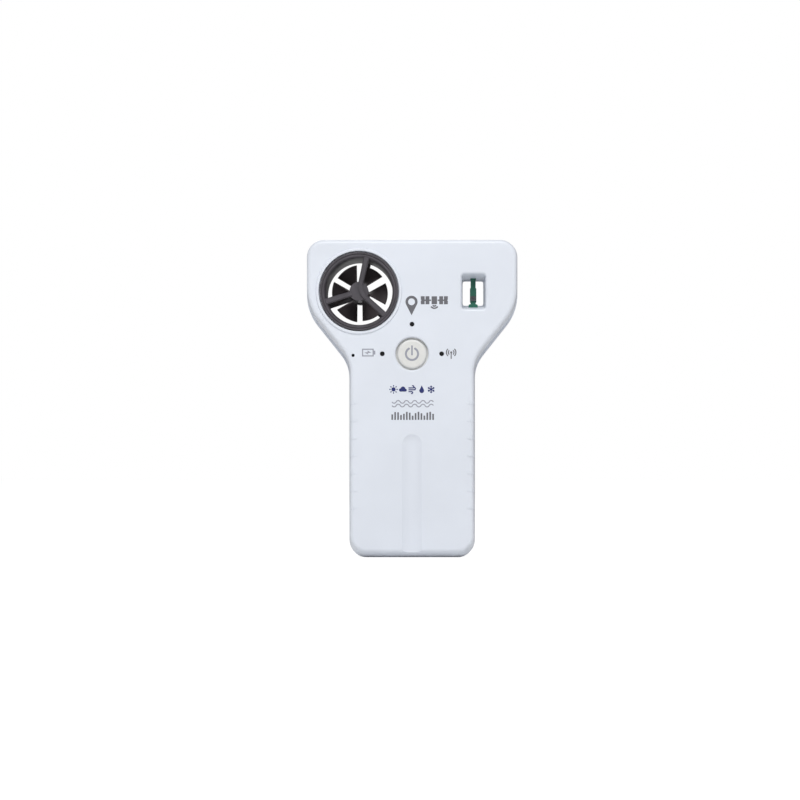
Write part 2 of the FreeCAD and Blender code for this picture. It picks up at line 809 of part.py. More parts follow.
def cut_handle_groove(body):
    """A shallow round groove up the handle with a domed top end, open at the foot."""
    radius = "((groove_half ^ 2 + groove_deep ^ 2) / (2 * groove_deep))"
    axis_y = f"-(front_depth + {radius} - groove_deep)"
    dome = "groove_top - groove_half"
    sketch = make_sketch(body, "groove_profile", "YZ_Plane")
    y, reach, high = value(axis_y), value(radius), value(dome)
    corners = [flat(y, -1), flat(y + reach, -1), flat(y + reach, high), flat(y, high + reach)]
    sketch.addGeometry([
        Part.LineSegment(corners[3], corners[0]),
        Part.LineSegment(corners[0], corners[1]),
        Part.LineSegment(corners[1], corners[2]),
        arc_between(flat(y, high), reach, 0, 90),
    ], False)
    for one, one_end, other, other_end in ((0, 2, 1, 1), (1, 2, 2, 1), (2, 2, 3, 1), (3, 2, 0, 1)):
        sketch.addConstraint(Sketcher.Constraint("Coincident", one, one_end, other, other_end))
    hold_point(sketch, 1, 1, axis_y, "-1")
    hold_point(sketch, 1, 2, f"{axis_y} + {radius}", "-1")
    hold_point(sketch, 2, 2, f"{axis_y} + {radius}", dome)
    hold_point(sketch, 3, 2, axis_y, f"{dome} + {radius}")
    hold(sketch, "Radius", 3, radius)
    before = body.Shape.Volume
    feature = body.newObject("PartDesign::Groove", "handle_groove")
    feature.Profile = sketch
    feature.ReferenceAxis = (sketch, ["Edge1"])
    run(feature)
    if feature.Shape.Volume >= before:
        raise RuntimeError("the handle groove cuts nothing")


def cut_insert_hole(body):
    """The half-round seat of the tripod insert in the foot wall."""
    sketch = make_sketch(body, body.Name + "_insert_hole", "XY_Plane", "-overrun")
    draw_circle(sketch, "0", "0", "insert_radius + press_gap")
    pocket(body, sketch, "cavity_foot + 3 * overrun", along_normal=True)


def cut_foot_openings(body):
    """The insert's seat and the charging socket's opening, cut up through the foot."""
    cut_insert_hole(body)
    sketch = make_sketch(body, "socket_opening", "XY_Plane", "-overrun")
    draw_rounded_rectangle(sketch, "socket_x", "socket_y", "(socket_wide + 2 * socket_gap)",
                           "(socket_thick + 2 * socket_gap)", "(socket_thick / 2)")
    pocket(body, sketch, "cavity_foot + 3 * overrun", along_normal=True)


def make_rear_shell():
    """Rear half: flat base, sunk screws, label recess, window, and a seat for the rear ring."""
    body = new_body("rear_shell")
    parting = front_sketch(body, "rear_parting")
    draw_case_outline(parting, foot="-foot_trim")
    back = front_sketch(body, "rear_face", "-rear_depth")
    draw_case_outline(back, side="rear_draft", foot="-foot_trim", top="rear_draft")
    loft(body, "Additive", [back, parting])
    fillet(body, "rear_edge", lambda edge: on_plane(edge, "Y", value("rear_depth")))
    trim_foot(body)
    cavity = front_sketch(body, "rear_cavity")
    draw_case_outline(cavity, side="cavity_side + rear_cavity_in", foot="cavity_foot", top="cavity_top")
    pocket(body, cavity, "rear_depth - wall")

    walls = front_sketch(body, "rear_walls")
    draw_circle(walls, "wind_x", "wind_z", "sleeve_outer")
    draw_window_wall(walls)
    for x, z in CASE_SCREWS:
        draw_circle(walls, x, z, "boss_radius")
    pad(body, walls, "rear_depth - wall / 2", reverse=True)
    tongues = front_sketch(body, "rear_tongues")
    wall_start = "throat_rear_tall / 2 + tongue_gap"
    wall_end = "window_tall / 2 + window_wall"
    draw_rectangle(tongues, "window_x - strip_neck", "window_x + strip_neck",
                   f"window_z + throat_lift + {wall_start}", f"window_z + {wall_end}")
    draw_rectangle(tongues, "window_x - strip_base", "window_x + strip_base",
                   f"window_z - ({wall_end})", f"window_z + throat_lift - ({wall_start})")
    pad(body, tongues, "board_front - tongue_gap")

    bore = front_sketch(body, "rear_bore")
    draw_circle(bore, "wind_x", "wind_z", "sleeve_inner")
    pocket(body, bore, "rear_depth + overrun")
    seat = front_sketch(body, "rear_ring_seat", "-(ring_rear - ring_thick)")
    draw_circle(seat, "wind_x", "wind_z", "collar_inner")
    pocket(body, seat, "wall + overrun")
    fillet(body, "collar_rise * 0.5",
           lambda edge: on_plane(edge, "Y", value("rear_depth"))
           and abs(edge.BoundBox.XLength - 2 * value("collar_inner")) < 0.01)

    through = front_sketch(body, "rear_screw_holes")
    for x, z in CASE_SCREWS:
        draw_circle(through, x, z, "screw_shank + fixing_slack")
    pocket(body, through, "rear_depth + overrun")
    sinks = front_sketch(body, "rear_screw_sinks", "-screw_seat")
    for x, z in CASE_SCREWS:
        draw_circle(sinks, x, z, "sink_radius")
    pocket(body, sinks, "rear_depth")
    cut_window(body, "rear_window", "rear_depth", -1, "throat_rear_tall")
    label = front_sketch(body, "label_recess", "-(rear_depth - label_recess)")
    draw_rounded_rectangle(label, "0", "((label_low + label_high) / 2)", "(2 * label_half + 2 * label_gap)",
                           "(label_high - label_low + 2 * label_gap)", "(label_corner + label_gap)")
    pocket(body, label, "wall")
    cut_insert_hole(body)
    name_piece(body, "rear_shell")


def make_screw(name, x, z, shank, head, head_tall, seat, reach):
    """A pan-head screw along Y, its head towards the rear."""
    profile = [
        ("0", f"-({reach})"), (f"{shank} * 0.4", f"-({reach})"), (shank, f"-({reach}) + {shank}"),
        (shank, seat), (head, seat), (head, f"{seat} + {head_tall} * 0.6"),
        (f"{head} * 0.7", f"{seat} + {head_tall}"), ("0", f"{seat} + {head_tall}"),
    ]
    body = turn(name, profile, x, z)
    cross = front_sketch(body, name + "_cross", f"-({seat} + {head_tall})")
    arm, half = f"{head} * 0.6", f"{head} * 0.14"
    draw_polygon(cross, [
        (f"-{arm}", f"-{half}"), (f"-{half}", f"-{half}"), (f"-{half}", f"-{arm}"), (half, f"-{arm}"),
        (half, f"-{half}"), (arm, f"-{half}"), (arm, half), (half, half),
        (half, arm), (f"-{half}", arm), (f"-{half}", half), (f"-{arm}", half),
    ])
    pocket(body, cross, f"{head_tall} * 0.6", along_normal=True)
    return body


def make_screws():
    case = [make_screw(f"case_screw_{index}", x, z, "screw_shank", "screw_head", "screw_head_tall",
                       "screw_seat", "screw_reach") for index, (x, z) in enumerate(CASE_SCREWS)]
    name_piece(group("case_screw_set", case), "case_screws")
    board = [make_screw(f"board_screw_{index}", x, z, "board_shank", "board_head", "board_head_tall",
                        "(board_thick - board_front)", "board_screw_reach")
             for index, (x, z) in enumerate(BOARD_SCREWS)]
    name_piece(group("board_screw_set", board), "board_screws")


def make_label():
    """A thin blank label in its recess on the back."""
    body = new_body("rear_label")
    sketch = front_sketch(body, "label_outline", "-(rear_depth - label_recess)")
    draw_rounded_rectangle(sketch, "0", "((label_low + label_high) / 2)", "(2 * label_half)",
                           "(label_high - label_low)", "label_corner")
    pad(body, sketch, "label_thick", reverse=True)
    name_piece(body, "rear_label")


# ---- wind sensor ----

def add_hub_ridge(body):
    """A curved ridge on the hub's face that joins two of the three arms in one sweep."""
    sketch = front_sketch(body, "hub_ridge", "-arm_set")
    half_turn = 180 / ARM_COUNT
    reach = f"ridge_radius / tan({half_turn} * 1deg)"
    radius, wide = value("ridge_radius"), value("ridge_wide")
    middle = flat(value(reach), -radius)
    inner, outer = radius - wide / 2, radius + wide / 2
    sketch.addGeometry([
        arc_between(middle, outer, 90, 90 + half_turn),
        arc_between(middle, inner, 90, 90 + half_turn),
    ], False)
    ends = []
    for turned in (90, 90 + half_turn):
        across, up = math.cos(math.radians(turned)), math.sin(math.radians(turned))
        ends.append([middle + flat(size * across, size * up) for size in (inner, outer)])
    sketch.addGeometry([Part.LineSegment(*ends[0]), Part.LineSegment(*ends[1])], False)
    for line, point in ((2, 1), (3, 2)):
        sketch.addConstraint(Sketcher.Constraint("Coincident", 1, point, line, 1))
        sketch.addConstraint(Sketcher.Constraint("Coincident", 0, point, line, 2))
    for arc in (0, 1):
        hold_point(sketch, arc, 3, reach, "-ridge_radius")
    hold(sketch, "Radius", 0, "ridge_radius + ridge_wide / 2")
    hold(sketch, "Radius", 1, "ridge_radius - ridge_wide / 2")
    sketch.addConstraint(Sketcher.Constraint("Vertical", 2))
    tilt = sketch.addConstraint(Sketcher.Constraint("Angle", 3, math.radians(90 + half_turn)))
    sketch.setDatum(tilt, FreeCAD.Units.Quantity(f"{90 + half_turn} deg"))
    pad(body, sketch, "hub_set - arm_set + arm_overlap", reverse=True)


def make_strut_ring():
    """The front ring, drawn with its outer face on y = 0 and its inside towards +Y."""
    bead = "ring_outer - ring_bead"
    band = f"{bead} - ring_groove"
    soft = "ring_step"
    profile = [
        ("tube_bore", "ring_thick"), ("ring_mouth", "ring_step + ring_bevel"),
        ("ring_mouth + ring_bevel", "ring_step"), (band, "ring_step"), (band, "ring_groove_deep"),
        (bead, "ring_groove_deep"), (bead, soft), (f"{bead} + {soft}", "0"),
        (f"ring_outer - {soft}", "0"), ("ring_outer", soft), ("ring_outer", "ring_thick"),
    ]
    body = turn("front_strut_ring", profile)
    roots = []
    for name, across, wide in (("arm_inner", "arm_start", "arm_root"),
                               ("arm_outer", "ring_mouth + arm_overlap", "arm_tip")):
        section = make_sketch(body, name, "YZ_Plane", across)
        half = f"{wide} / 2"
        draw_polygon(section, [
            ("arm_set", f"-({half} - arm_bevel)"), ("arm_set + arm_bevel", f"-{half}"),
            ("arm_deep - arm_bevel", f"-{half}"), ("arm_deep", f"-({half} - arm_bevel)"),
            ("arm_deep", f"{half} - arm_bevel"), ("arm_deep - arm_bevel", half),
            ("arm_set + arm_bevel", half), ("arm_set", f"{half} - arm_bevel"),
        ])
        roots.append(section)
    arm = loft(body, "Additive", roots)
    polar_copies(body, arm, "Y_Axis", ARM_COUNT)
    hub = front_sketch(body, "strut_hub", "-hub_set")
    draw_circle(hub, "0", "0", "hub_radius")
    pad(body, hub, "hub_deep", reverse=True)
    fillet(body, "hub_bevel", lambda edge: on_plane(edge, "Y", value("hub_set + hub_deep")))
    add_hub_ridge(body)
    seat = front_sketch(body, "jewel_seat", "-(hub_set + hub_deep - jewel_length)")
    draw_circle(seat, "0", "0", "jewel_radius")
    pocket(body, seat, "hub_deep")
    body.Placement.Rotation = FreeCAD.Rotation(FreeCAD.Vector(0, 1, 0), -value("arm_angle"))
    place(body, "wind_x", "-ring_front", "wind_z")
    name_piece(body, "front_strut_ring")

    rear = doc.addObject("Part::Mirroring", "rear_strut_ring_mirror")
    rear.Source = body
    rear.Normal = (0, 1, 0)
    rear.Base = (0, 0, 0)
    place(rear, "0", "ring_rear - ring_front", "0")
    name_piece(rear, "rear_strut_ring")


HUB_BACK = "(hub_set + hub_deep)"
FRONT_JEWEL = f"(ring_front - {HUB_BACK})"
REAR_JEWEL = f"(ring_rear - {HUB_BACK})"


def make_jewels():
    """Blind jewel cups that hold the axle's two ends."""
    for label, sign, face in (("front_jewel_bearing", -1, FRONT_JEWEL),
                              ("rear_jewel_bearing", 1, REAR_JEWEL)):
        profile = [
            ("0", f"{sign} * ({face} + jewel_length)"),
            ("jewel_radius", f"{sign} * ({face} + jewel_length)"),
            ("jewel_radius", f"{sign} * {face}"), ("jewel_bore", f"{sign} * {face}"),
            ("jewel_bore", f"{sign} * ({face} + jewel_bore_deep)"),
            ("0", f"{sign} * ({face} + jewel_bore_deep)"),
        ]
        name_piece(turn(label, profile, "wind_x", "wind_z"), label)


def make_wind_tube():
    """The tube between the two rings, with a seal groove near each end, and its two seals."""
    front = "-(ring_front - ring_thick)"
    rear = "(ring_rear - ring_thick)"
    first = f"({front} + seal_inset)"
    second = f"({rear} - seal_inset - seal_width)"
    profile = [("tube_bore", front), ("tube_outer", front)]
    for start in (first, second):
        profile += [
            ("tube_outer", start), ("seal_floor", start),
            ("seal_floor", f"{start} + seal_width"), ("tube_outer", f"{start} + seal_width"),
        ]
    profile += [("tube_outer", rear), ("tube_bore", rear)]
    name_piece(turn("wind_tube", profile, "wind_x", "wind_z"), "wind_tube")
    seals = []
    for index, start in enumerate((first, second)):
        ring = doc.addObject("Part::Torus", f"seal_{index}")
        ring.setExpression("Radius1", bind("seal_floor + seal_thick"))
        ring.setExpression("Radius2", bind("seal_thick"))
        ring.Placement.Rotation = FreeCAD.Rotation(FreeCAD.Vector(1, 0, 0), -90)
        seals.append(place(ring, "wind_x", f"{start} + seal_width / 2", "wind_z"))
    name_piece(group("tube_seals", seals), "tube_o_rings")


def make_impeller():
    """Six twisted blades on a hub; neighbouring blades leave a gap with parallel sides."""
    profile = [
        ("axle_radius", "-rotor_front"), ("rotor_hub - rotor_bevel", "-rotor_front"),
        ("rotor_hub", "-rotor_front + rotor_bevel"), ("rotor_hub", "rotor_rear"),
        ("axle_radius", "rotor_rear"),
    ]
    body = turn("impeller", profile)
    half_step = 180 / BLADE_COUNT
    sections = []
    for name, across, axial in (("blade_root", "rotor_hub - blade_root_in", "blade_axial_root"),
                                ("blade_end", "blade_tip + blade_over", "blade_axial_tip")):
        reach = f"(({across}) * tan({half_step} * 1deg) - blade_gap / 2 / cos({half_step} * 1deg))"
        chord_half = f"sqrt({reach} ^ 2 + {axial} ^ 2)"
        lean_y, lean_z = f"({axial} / {chord_half})", f"({reach} / {chord_half})"
        half = "blade_thick / 2"
        section = make_sketch(body, name, "YZ_Plane", across)
        draw_polygon(section, [
            (f"-{axial} + {lean_z} * {half}", f"-{reach} - {lean_y} * {half}"),
            (f"{axial} + {lean_z} * {half}", f"{reach} - {lean_y} * {half}"),
            (f"{axial} - {lean_z} * {half}", f"{reach} + {lean_y} * {half}"),
            (f"-{axial} - {lean_z} * {half}", f"-{reach} + {lean_y} * {half}"),
        ])
        sections.append(section)
    blade = loft(body, "Additive", sections)
    polar_copies(body, blade, "Y_Axis", BLADE_COUNT)
    trim = front_sketch(body, "blade_trim_ring", "rotor_front")
    draw_circle(trim, "0", "0", "blade_tip + blade_trim")
    draw_circle(trim, "0", "0", "blade_tip")
    pocket(body, trim, "rotor_front + rotor_rear")
    seat = front_sketch(body, "magnet_seat", "-(rotor_rear - magnet_length)")
    draw_circle(seat, "0", "0", "magnet_outer")
    pocket(body, seat, "magnet_length + overrun")
    place(body, "wind_x", "0", "wind_z")
    name_piece(body, "impeller")

    front_end = f"-({FRONT_JEWEL} + jewel_bore_deep - axle_play)"
    rear_end = f"({REAR_JEWEL} + jewel_bore_deep - axle_play)"
    axle = [
        ("0", front_end), ("axle_radius * 0.4", front_end), ("axle_radius", f"{front_end} + axle_point"),
        ("axle_radius", f"{rear_end} - axle_point"), ("axle_radius * 0.4", rear_end), ("0", rear_end),
    ]
    name_piece(turn("impeller_axle", axle, "wind_x", "wind_z"), "impeller_axle")
    magnet = [
        ("axle_radius", "rotor_rear - magnet_length"), ("magnet_outer", "rotor_rear - magnet_length"),
        ("magnet_outer", "rotor_rear"), ("axle_radius", "rotor_rear"),
    ]
    name_piece(turn("impeller_magnet", magnet, "wind_x", "wind_z"), "impeller_magnet")


# ---- button and lights ----

def make_power_button():
    """Cap, retaining flange behind the wall, and a stem down to the switch plunger."""
    back = "flange_front - flange_thick"
    tip = "board_front + switch_deep + plunger_rise"
    profile = [
        ("0", "-button_front"), ("button_cap - cap_round", "-button_front"),
        ("button_cap - cap_round * 0.5", "-button_front + cap_round * 0.13"),
        ("button_cap - cap_round * 0.13", "-button_front + cap_round * 0.5"),
        ("button_cap", "-button_front + cap_round"),
        ("button_cap", "-flange_front"), ("button_flange", "-flange_front"),
        ("button_flange", f"-({back})"), ("button_stem", f"-({back})"),
        ("button_stem", f"-({tip})"), ("0", f"-({tip})"),
    ]
    name_piece(turn("power_button", profile, "0", "button_z"), "power_button")
    top = "board_front + switch_deep"
    case = block("switch_case", "-switch_half", "switch_half", f"-({top})", "-board_front",
                 "button_z - switch_half", "button_z + switch_half")
    well = level("switch_well", "plunger_bore", f"-({top}) - overrun",
                 f"-({top}) + plunger_sunk + button_travel + fixing_slack", "0", "button_z")
    name_piece(cut("switch_body", case, well), "power_switch_body")
    plunger = level("switch_plunger", "plunger_radius", f"-({tip})", f"-({top}) + plunger_sunk",
                    "0", "button_z")
    name_piece(plunger, "power_switch_plunger")


LIGHTS = [("battery", "-light_x", "button_z"), ("radio", "light_x", "button_z"),
          ("gps", "0", "gps_light_z")]


def make_lights():
    """A light pipe behind each hole, and the three small lamps on the board."""
    lamps = []
    front = "front_depth - light_sunk"
    flange = "front_depth - wall - light_gap"
    for name, x, z in LIGHTS:
        profile = [
            ("0", f"-({front})"), ("light_radius - light_bevel", f"-({front})"),
            ("light_radius", f"-({front} - light_bevel)"), ("light_radius", f"-({flange})"),
            ("light_flange", f"-({flange})"), ("light_flange", f"-({flange} - light_flange_thick)"),
            ("light_radius", f"-({flange} - light_flange_thick)"),
            ("light_radius", "-light_back"), ("0", "-light_back"),
        ]
        name_piece(turn(name + "_light_pipe", profile, x, z), name + "_light_pipe")
        lamps.append(block(name + "_lamp", f"{x} - lamp_half_wide", f"{x} + lamp_half_wide",
                           "-board_front - lamp_thick", "-board_front",
                           f"{z} - lamp_half_tall", f"{z} + lamp_half_tall"))
    name_piece(group("lamps", lamps), "status_leds")
    disc = level("vent_disc_solid", "vent_disc", "-(front_depth - wall)",
                 "-(front_depth - wall - vent_thick)", "vent_x", "vent_z")
    name_piece(disc, "vent_membrane")


# ---- electronics ----

def make_main_board():
    """The circuit board, cut out round the wind tunnel, the window and the insert."""
    body = new_body("main_board")
    outline = front_sketch(body, "board_outline", "board_front")
    draw_case_outline(outline, side="board_inset", foot="board_foot", top="board_top_in",
                      ledge="neck_ledge")
    pad(body, outline, "board_thick", reverse=True)
    gaps = front_sketch(body, "board_gaps", "board_front")
    draw_circle(gaps, "wind_x", "wind_z", "sleeve_outer + board_gap")
    draw_rounded_rectangle(gaps, "window_x", "window_z", "(window_wide + 2 * window_wall + 2 * board_gap)",
                           "(window_tall + 2 * window_wall + 2 * board_gap)", "window_corner")
    draw_rectangle(gaps, "-insert_gap_half", "insert_gap_half", "0", "insert_tall + insert_gap_over")
    pocket(body, gaps, "board_thick")
    holes = front_sketch(body, "board_holes", "board_front")
    for x, z in BOARD_SCREWS:
        draw_circle(holes, x, z, "board_shank + fixing_slack")
    pocket(body, holes, "board_thick")
    clear = front_sketch(body, "board_boss_gaps", "board_front")
    for x, z in CASE_SCREWS:
        draw_circle(clear, x, z, "boss_radius + board_gap")
    pocket(body, clear, "board_thick")
    name_piece(body, "main_board")


def make_sensor_strip():
    """A narrow board across the window with the humidity and temperature chip on its front."""
    body = new_body("sensor_board")
    sketch = front_sketch(body, "strip_outline", "board_front")
    right = [
        ("strip_base", "-strip_reach"), ("strip_base", "-(base_top + strip_ease)"),
        ("strip_neck", "-base_top"), ("strip_neck", "-(bulge_low + strip_ease)"),
        ("strip_bulge", "-bulge_low"), ("strip_bulge", "bulge_top"),
        ("strip_neck", "bulge_top + strip_ease"), ("strip_neck", "strip_reach"),
    ]
    corners = [(f"window_x + {x}", f"window_z + ({z})") for x, z in right]
    corners += [(f"window_x - {x}", f"window_z + ({z})") for x, z in reversed(right)]
    draw_polygon(sketch, corners)
    pad(body, sketch, "strip_thick")
    name_piece(body, "sensor_board")
    front = "board_front + strip_thick"
    chip = block("humidity_chip", "window_x - chip_wide / 2", "window_x + chip_wide / 2",
                 f"-({front} + chip_thick)", f"-({front})",
                 "window_z - chip_drop - chip_tall / 2", "window_z - chip_drop + chip_tall / 2")
    port = level("humidity_port", "chip_port", f"-({front} + chip_thick) - overrun",
                 f"-({front} + chip_thick / 2)", "window_x", "window_z - chip_drop")
    name_piece(cut("humidity_chip_open", chip, port), "humidity_sensor")


def board_part(label, x, z, wide, tall, thick, lift):
    """A flat component on the front of the board, given by its middle and size."""
    base = f"(board_front + {lift})"
    item = block(label + "_solid", f"{x} - {wide} / 2", f"{x} + {wide} / 2", f"-({base} + {thick})",
                 f"-{base}", f"{z} - {tall} / 2", f"{z} + {tall} / 2")
    return name_piece(item, label)


# Components on the board's front: middle x and z, width, height, thickness, and lift off the board.
COMPONENTS = {
    "gps_module": ("8", "121.5", "16", "16", "0.8", "0"),
    "gps_antenna": ("8", "121.5", "12", "12", "4", "0.8"),
    "radio_module": ("0", "62", "15", "19", "2.2", "0"),
    "processor_chip": ("11", "104", "7", "7", "1", "0"),
    "pressure_sensor": ("-22.2", "vent_z", "3", "3", "1", "0"),
    "hall_sensor": ("wind_x + sleeve_outer + 2", "wind_z", "1.6", "3", "1.2", "0"),
}


def make_components():
    for label, sizes in COMPONENTS.items():
        board_part(label, *sizes)


def make_socket():
    """The charging socket: a rounded metal shell round a contact tongue, its mouth down."""
    body = new_body("usb_socket")
    outside = make_sketch(body, "socket_outside", "XY_Plane", "socket_low")
    draw_rounded_rectangle(outside, "socket_x", "socket_y", "socket_wide", "socket_thick",
                           "(socket_thick / 2 - 0.1)")
    pad(body, outside, "socket_tall")
    inside = make_sketch(body, "socket_inside", "XY_Plane", "socket_low")
    draw_rounded_rectangle(inside, "socket_x", "socket_y", "(socket_wide - 2 * socket_wall)",
                           "(socket_thick - 2 * socket_wall)", "(socket_thick / 2 - 0.4)")
    pocket(body, inside, "socket_deep", along_normal=True)
    tongue = make_sketch(body, "socket_tongue", "XY_Plane", "socket_low + socket_tongue_set")
    draw_rounded_rectangle(tongue, "socket_x", "socket_y", "socket_tongue_wide", "socket_tongue_thick",
                           "(socket_tongue_thick * 0.4)")
    pad(body, tongue, "socket_deep")
    name_piece(body, "usb_socket")


def make_battery():
    """The flat cell, its foam pad, and the plug and socket that join it to the board."""
    body = new_body("battery")
    sketch = make_sketch(body, "battery_section", "XY_Plane", "battery_low")
    draw_rounded_rectangle(sketch, "0", "((battery_near + battery_far) / 2)", "(2 * battery_half)",
                           "(battery_far - battery_near)", "battery_corner")
    pad(body, sketch, "battery_high - battery_low")
    name_piece(body, "battery")
    pad_solid = block("battery_foam", "-battery_half + foam_side_in", "battery_half - foam_side_in",
                      "battery_far", "rear_depth - wall", "battery_low + foam_end_in",
                      "battery_high - foam_end_in")
    name_piece(pad_solid, "battery_pad")
    middle = "(lead_red_x + lead_black_x) / 2"
    back = "(board_thick - board_front)"
    left, right = f"{middle} - plug_half", f"{middle} + plug_half"
    near, far = f"{back} + plug_lift", f"{back} + plug_lift + plug_deep"
    plug = block("plug_solid", left, right, near, far, "plug_low", "plug_low + plug_tall")
    name_piece(plug, "battery_plug")
    housing = block("connector_solid", f"{left} - connector_side", f"{right} + connector_side",
                    back, f"{far} + plug_lift", "plug_low + connector_set",
                    "plug_low + plug_tall + connector_end")
    mouth = block("connector_mouth", left, right, near, far, "plug_low", "plug_low + plug_tall")
    name_piece(cut("connector_open", housing, mouth), "battery_connector")


def lead_path(x):
    """Straight runs and tangent arcs from the cell's top up to the plug, in one plane."""
    corners = [
        FreeCAD.Vector(x, value("lead_y"), value("battery_high")),
        FreeCAD.Vector(x, value("lead_y"), value("lead_turn_low")),
        FreeCAD.Vector(x, value("plug_y"), value("lead_turn_high")),
        FreeCAD.Vector(x, value("plug_y"), value("plug_low")),
    ]
    edges = []
    start = corners[0]
    for before, corner, after in zip(corners, corners[1:], corners[2:]):
        inward = (before - corner).normalize()
        outward = (after - corner).normalize()
        half_turn = (math.pi - inward.getAngle(outward)) / 2
        reach = 0.45 * min(before.distanceToPoint(corner), corner.distanceToPoint(after))
        radius = reach / math.tan(half_turn)
        entry, leave = corner + inward * reach, corner + outward * reach
        toward = (inward + outward).normalize()
        middle = corner + toward * (radius / math.cos(half_turn) - radius)
        print(f"lead bend radius {radius:.2f} mm")
        edges.append(Part.LineSegment(start, entry).toShape())
        edges.append(Part.Arc(entry, middle, leave).toShape())
        start = leave
    edges.append(Part.LineSegment(start, corners[-1]).toShape())
    return Part.Wire(edges)


def make_leads():
    """Two battery leads; each volume is compared with section times length."""
    for colour, alias in (("red", "lead_red_x"), ("black", "lead_black_x")):
        path = lead_path(value(alias))
        radius = value("lead_radius")
        start = path.Vertexes[0].Point
        section = Part.Wire(Part.Circle(start, FreeCAD.Vector(0, 0, 1), radius).toShape())
        tube = path.makePipeShell([section], True, False)
        expected = math.pi * radius ** 2 * path.Length
        if abs(tube.Volume - expected) > 0.01 * expected:
            raise RuntimeError(f"the {colour} lead's volume is not its section times its length")
        item = doc.addObject("Part::Feature", f"battery_lead_{colour}_tube")
        item.Shape = tube
        item.Placement = FreeCAD.Placement()
        name_piece(item, f"battery_lead_{colour}")


def make_insert():
    """The tripod insert: a brass sleeve with a blind bore and a flange above the foot wall."""
    sleeve = upright("insert_sleeve", "insert_radius", "0", "insert_tall")
    flange = upright("insert_collar", "insert_flange", "cavity_foot",
                     "cavity_foot + insert_flange_thick")
    bore = upright("insert_thread_bore", "insert_bore", "-overrun", "insert_depth")
    name_piece(cut("insert_bored", fuse("insert_outside", sleeve, flange), bore), "tripod_insert")


def check(item):
    """Stop if an object failed or its shape is missing or not valid."""
    bad = {"Invalid", "Error"} & set(item.State)
    if bad:
        raise RuntimeError(f"{item.Label}: {', '.join(sorted(bad))}")


def main():
    make_front_shell()
    make_rear_shell()
    make_screws()
    make_label()
    make_strut_ring()
    make_jewels()
    make_wind_tube()
    make_impeller()
    make_power_button()
    make_lights()
    make_main_board()
    make_sensor_strip()
    make_components()
    make_socket()
    make_battery()
    make_leads()
    make_insert()
    doc.recompute()
    for item in doc.Objects:
        check(item)
    os.makedirs("parts", exist_ok=True)
    for item in subparts:
        if item.Shape.isNull() or not item.Shape.isValid():
            raise RuntimeError(f"{item.Label} has no valid shape")
    for item in subparts:
        item.Shape.exportStep(f"parts/{item.Label}.step")
        print(f"{item.Label}: {len(item.Shape.Solids)} solid, {item.Shape.Volume:.1f} mm3")


main()
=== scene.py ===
import math

import bmesh
import bpy
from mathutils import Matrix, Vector


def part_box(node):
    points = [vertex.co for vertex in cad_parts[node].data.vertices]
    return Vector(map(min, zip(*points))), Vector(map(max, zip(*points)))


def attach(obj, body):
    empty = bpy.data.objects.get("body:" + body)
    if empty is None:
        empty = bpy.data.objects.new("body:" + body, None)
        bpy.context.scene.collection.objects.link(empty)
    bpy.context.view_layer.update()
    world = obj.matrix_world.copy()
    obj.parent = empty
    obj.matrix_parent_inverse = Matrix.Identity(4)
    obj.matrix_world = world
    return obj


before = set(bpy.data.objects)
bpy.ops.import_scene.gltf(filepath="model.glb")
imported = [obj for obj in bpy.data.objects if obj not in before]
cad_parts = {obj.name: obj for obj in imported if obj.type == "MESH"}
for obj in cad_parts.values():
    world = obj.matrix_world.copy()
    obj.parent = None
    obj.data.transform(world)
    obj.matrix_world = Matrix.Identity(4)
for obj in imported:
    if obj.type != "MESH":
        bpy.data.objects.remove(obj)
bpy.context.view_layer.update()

bl_info = {
    "name": "Wireless weather sensor",
    "version": (1, 0, 0),
    "blender": (4, 5, 0),
    "location": "3D View > Sidebar > Weather sensor",
    "description": "Finishes, printed signs and fine parts of a hand-held wireless weather sensor",
    "category": "Object",
}

MM = 0.001
CASE_BODY = "case"
BUTTON_BODY = "power_button"
FACE_SETBACK = 1.0 * MM  # from the case's front face back to the button's face
LIGHT_DISTANCE = 1.28  # from a lamp to the middle of the object
LIGHT_SIZE = 0.8
FLOOR_SIZE = 12.0
FLOOR_GAP = 0.05 * MM  # keeps the floor clear of the flat base
THREAD_BORE = 2.6 * MM
THREAD_SUNK = 0.05 * MM  # how far the thread's root lies in the brass
THREAD_TOOTH = 0.32 * MM
THREAD_DEPTH = 9.6 * MM
THREAD_STEPS = 36
ROW_SHARE = 0.9  # a weather sign's size against the row's pitch
FILM_SHARE = 1.6  # a printed film's thickness against its height, so that it sinks into the face
FILM_OFFSET = 0.3


# ---- where things are, read from the frame ----

def middle(node):
    """The middle of a CAD node's box."""
    low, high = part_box(node)
    return (low + high) / 2


def face_depth():
    """The y of the flat front face, which lies in front of the button's face."""
    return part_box("power_button")[0].y - FACE_SETBACK


class PLACE:
    """Places on the object that several pieces share."""
    button = middle("power_button")
    gps_light = middle("gps_light_pipe")
    battery_light = middle("battery_light_pipe")
    face = face_depth()


# ---- settings a user would change ----

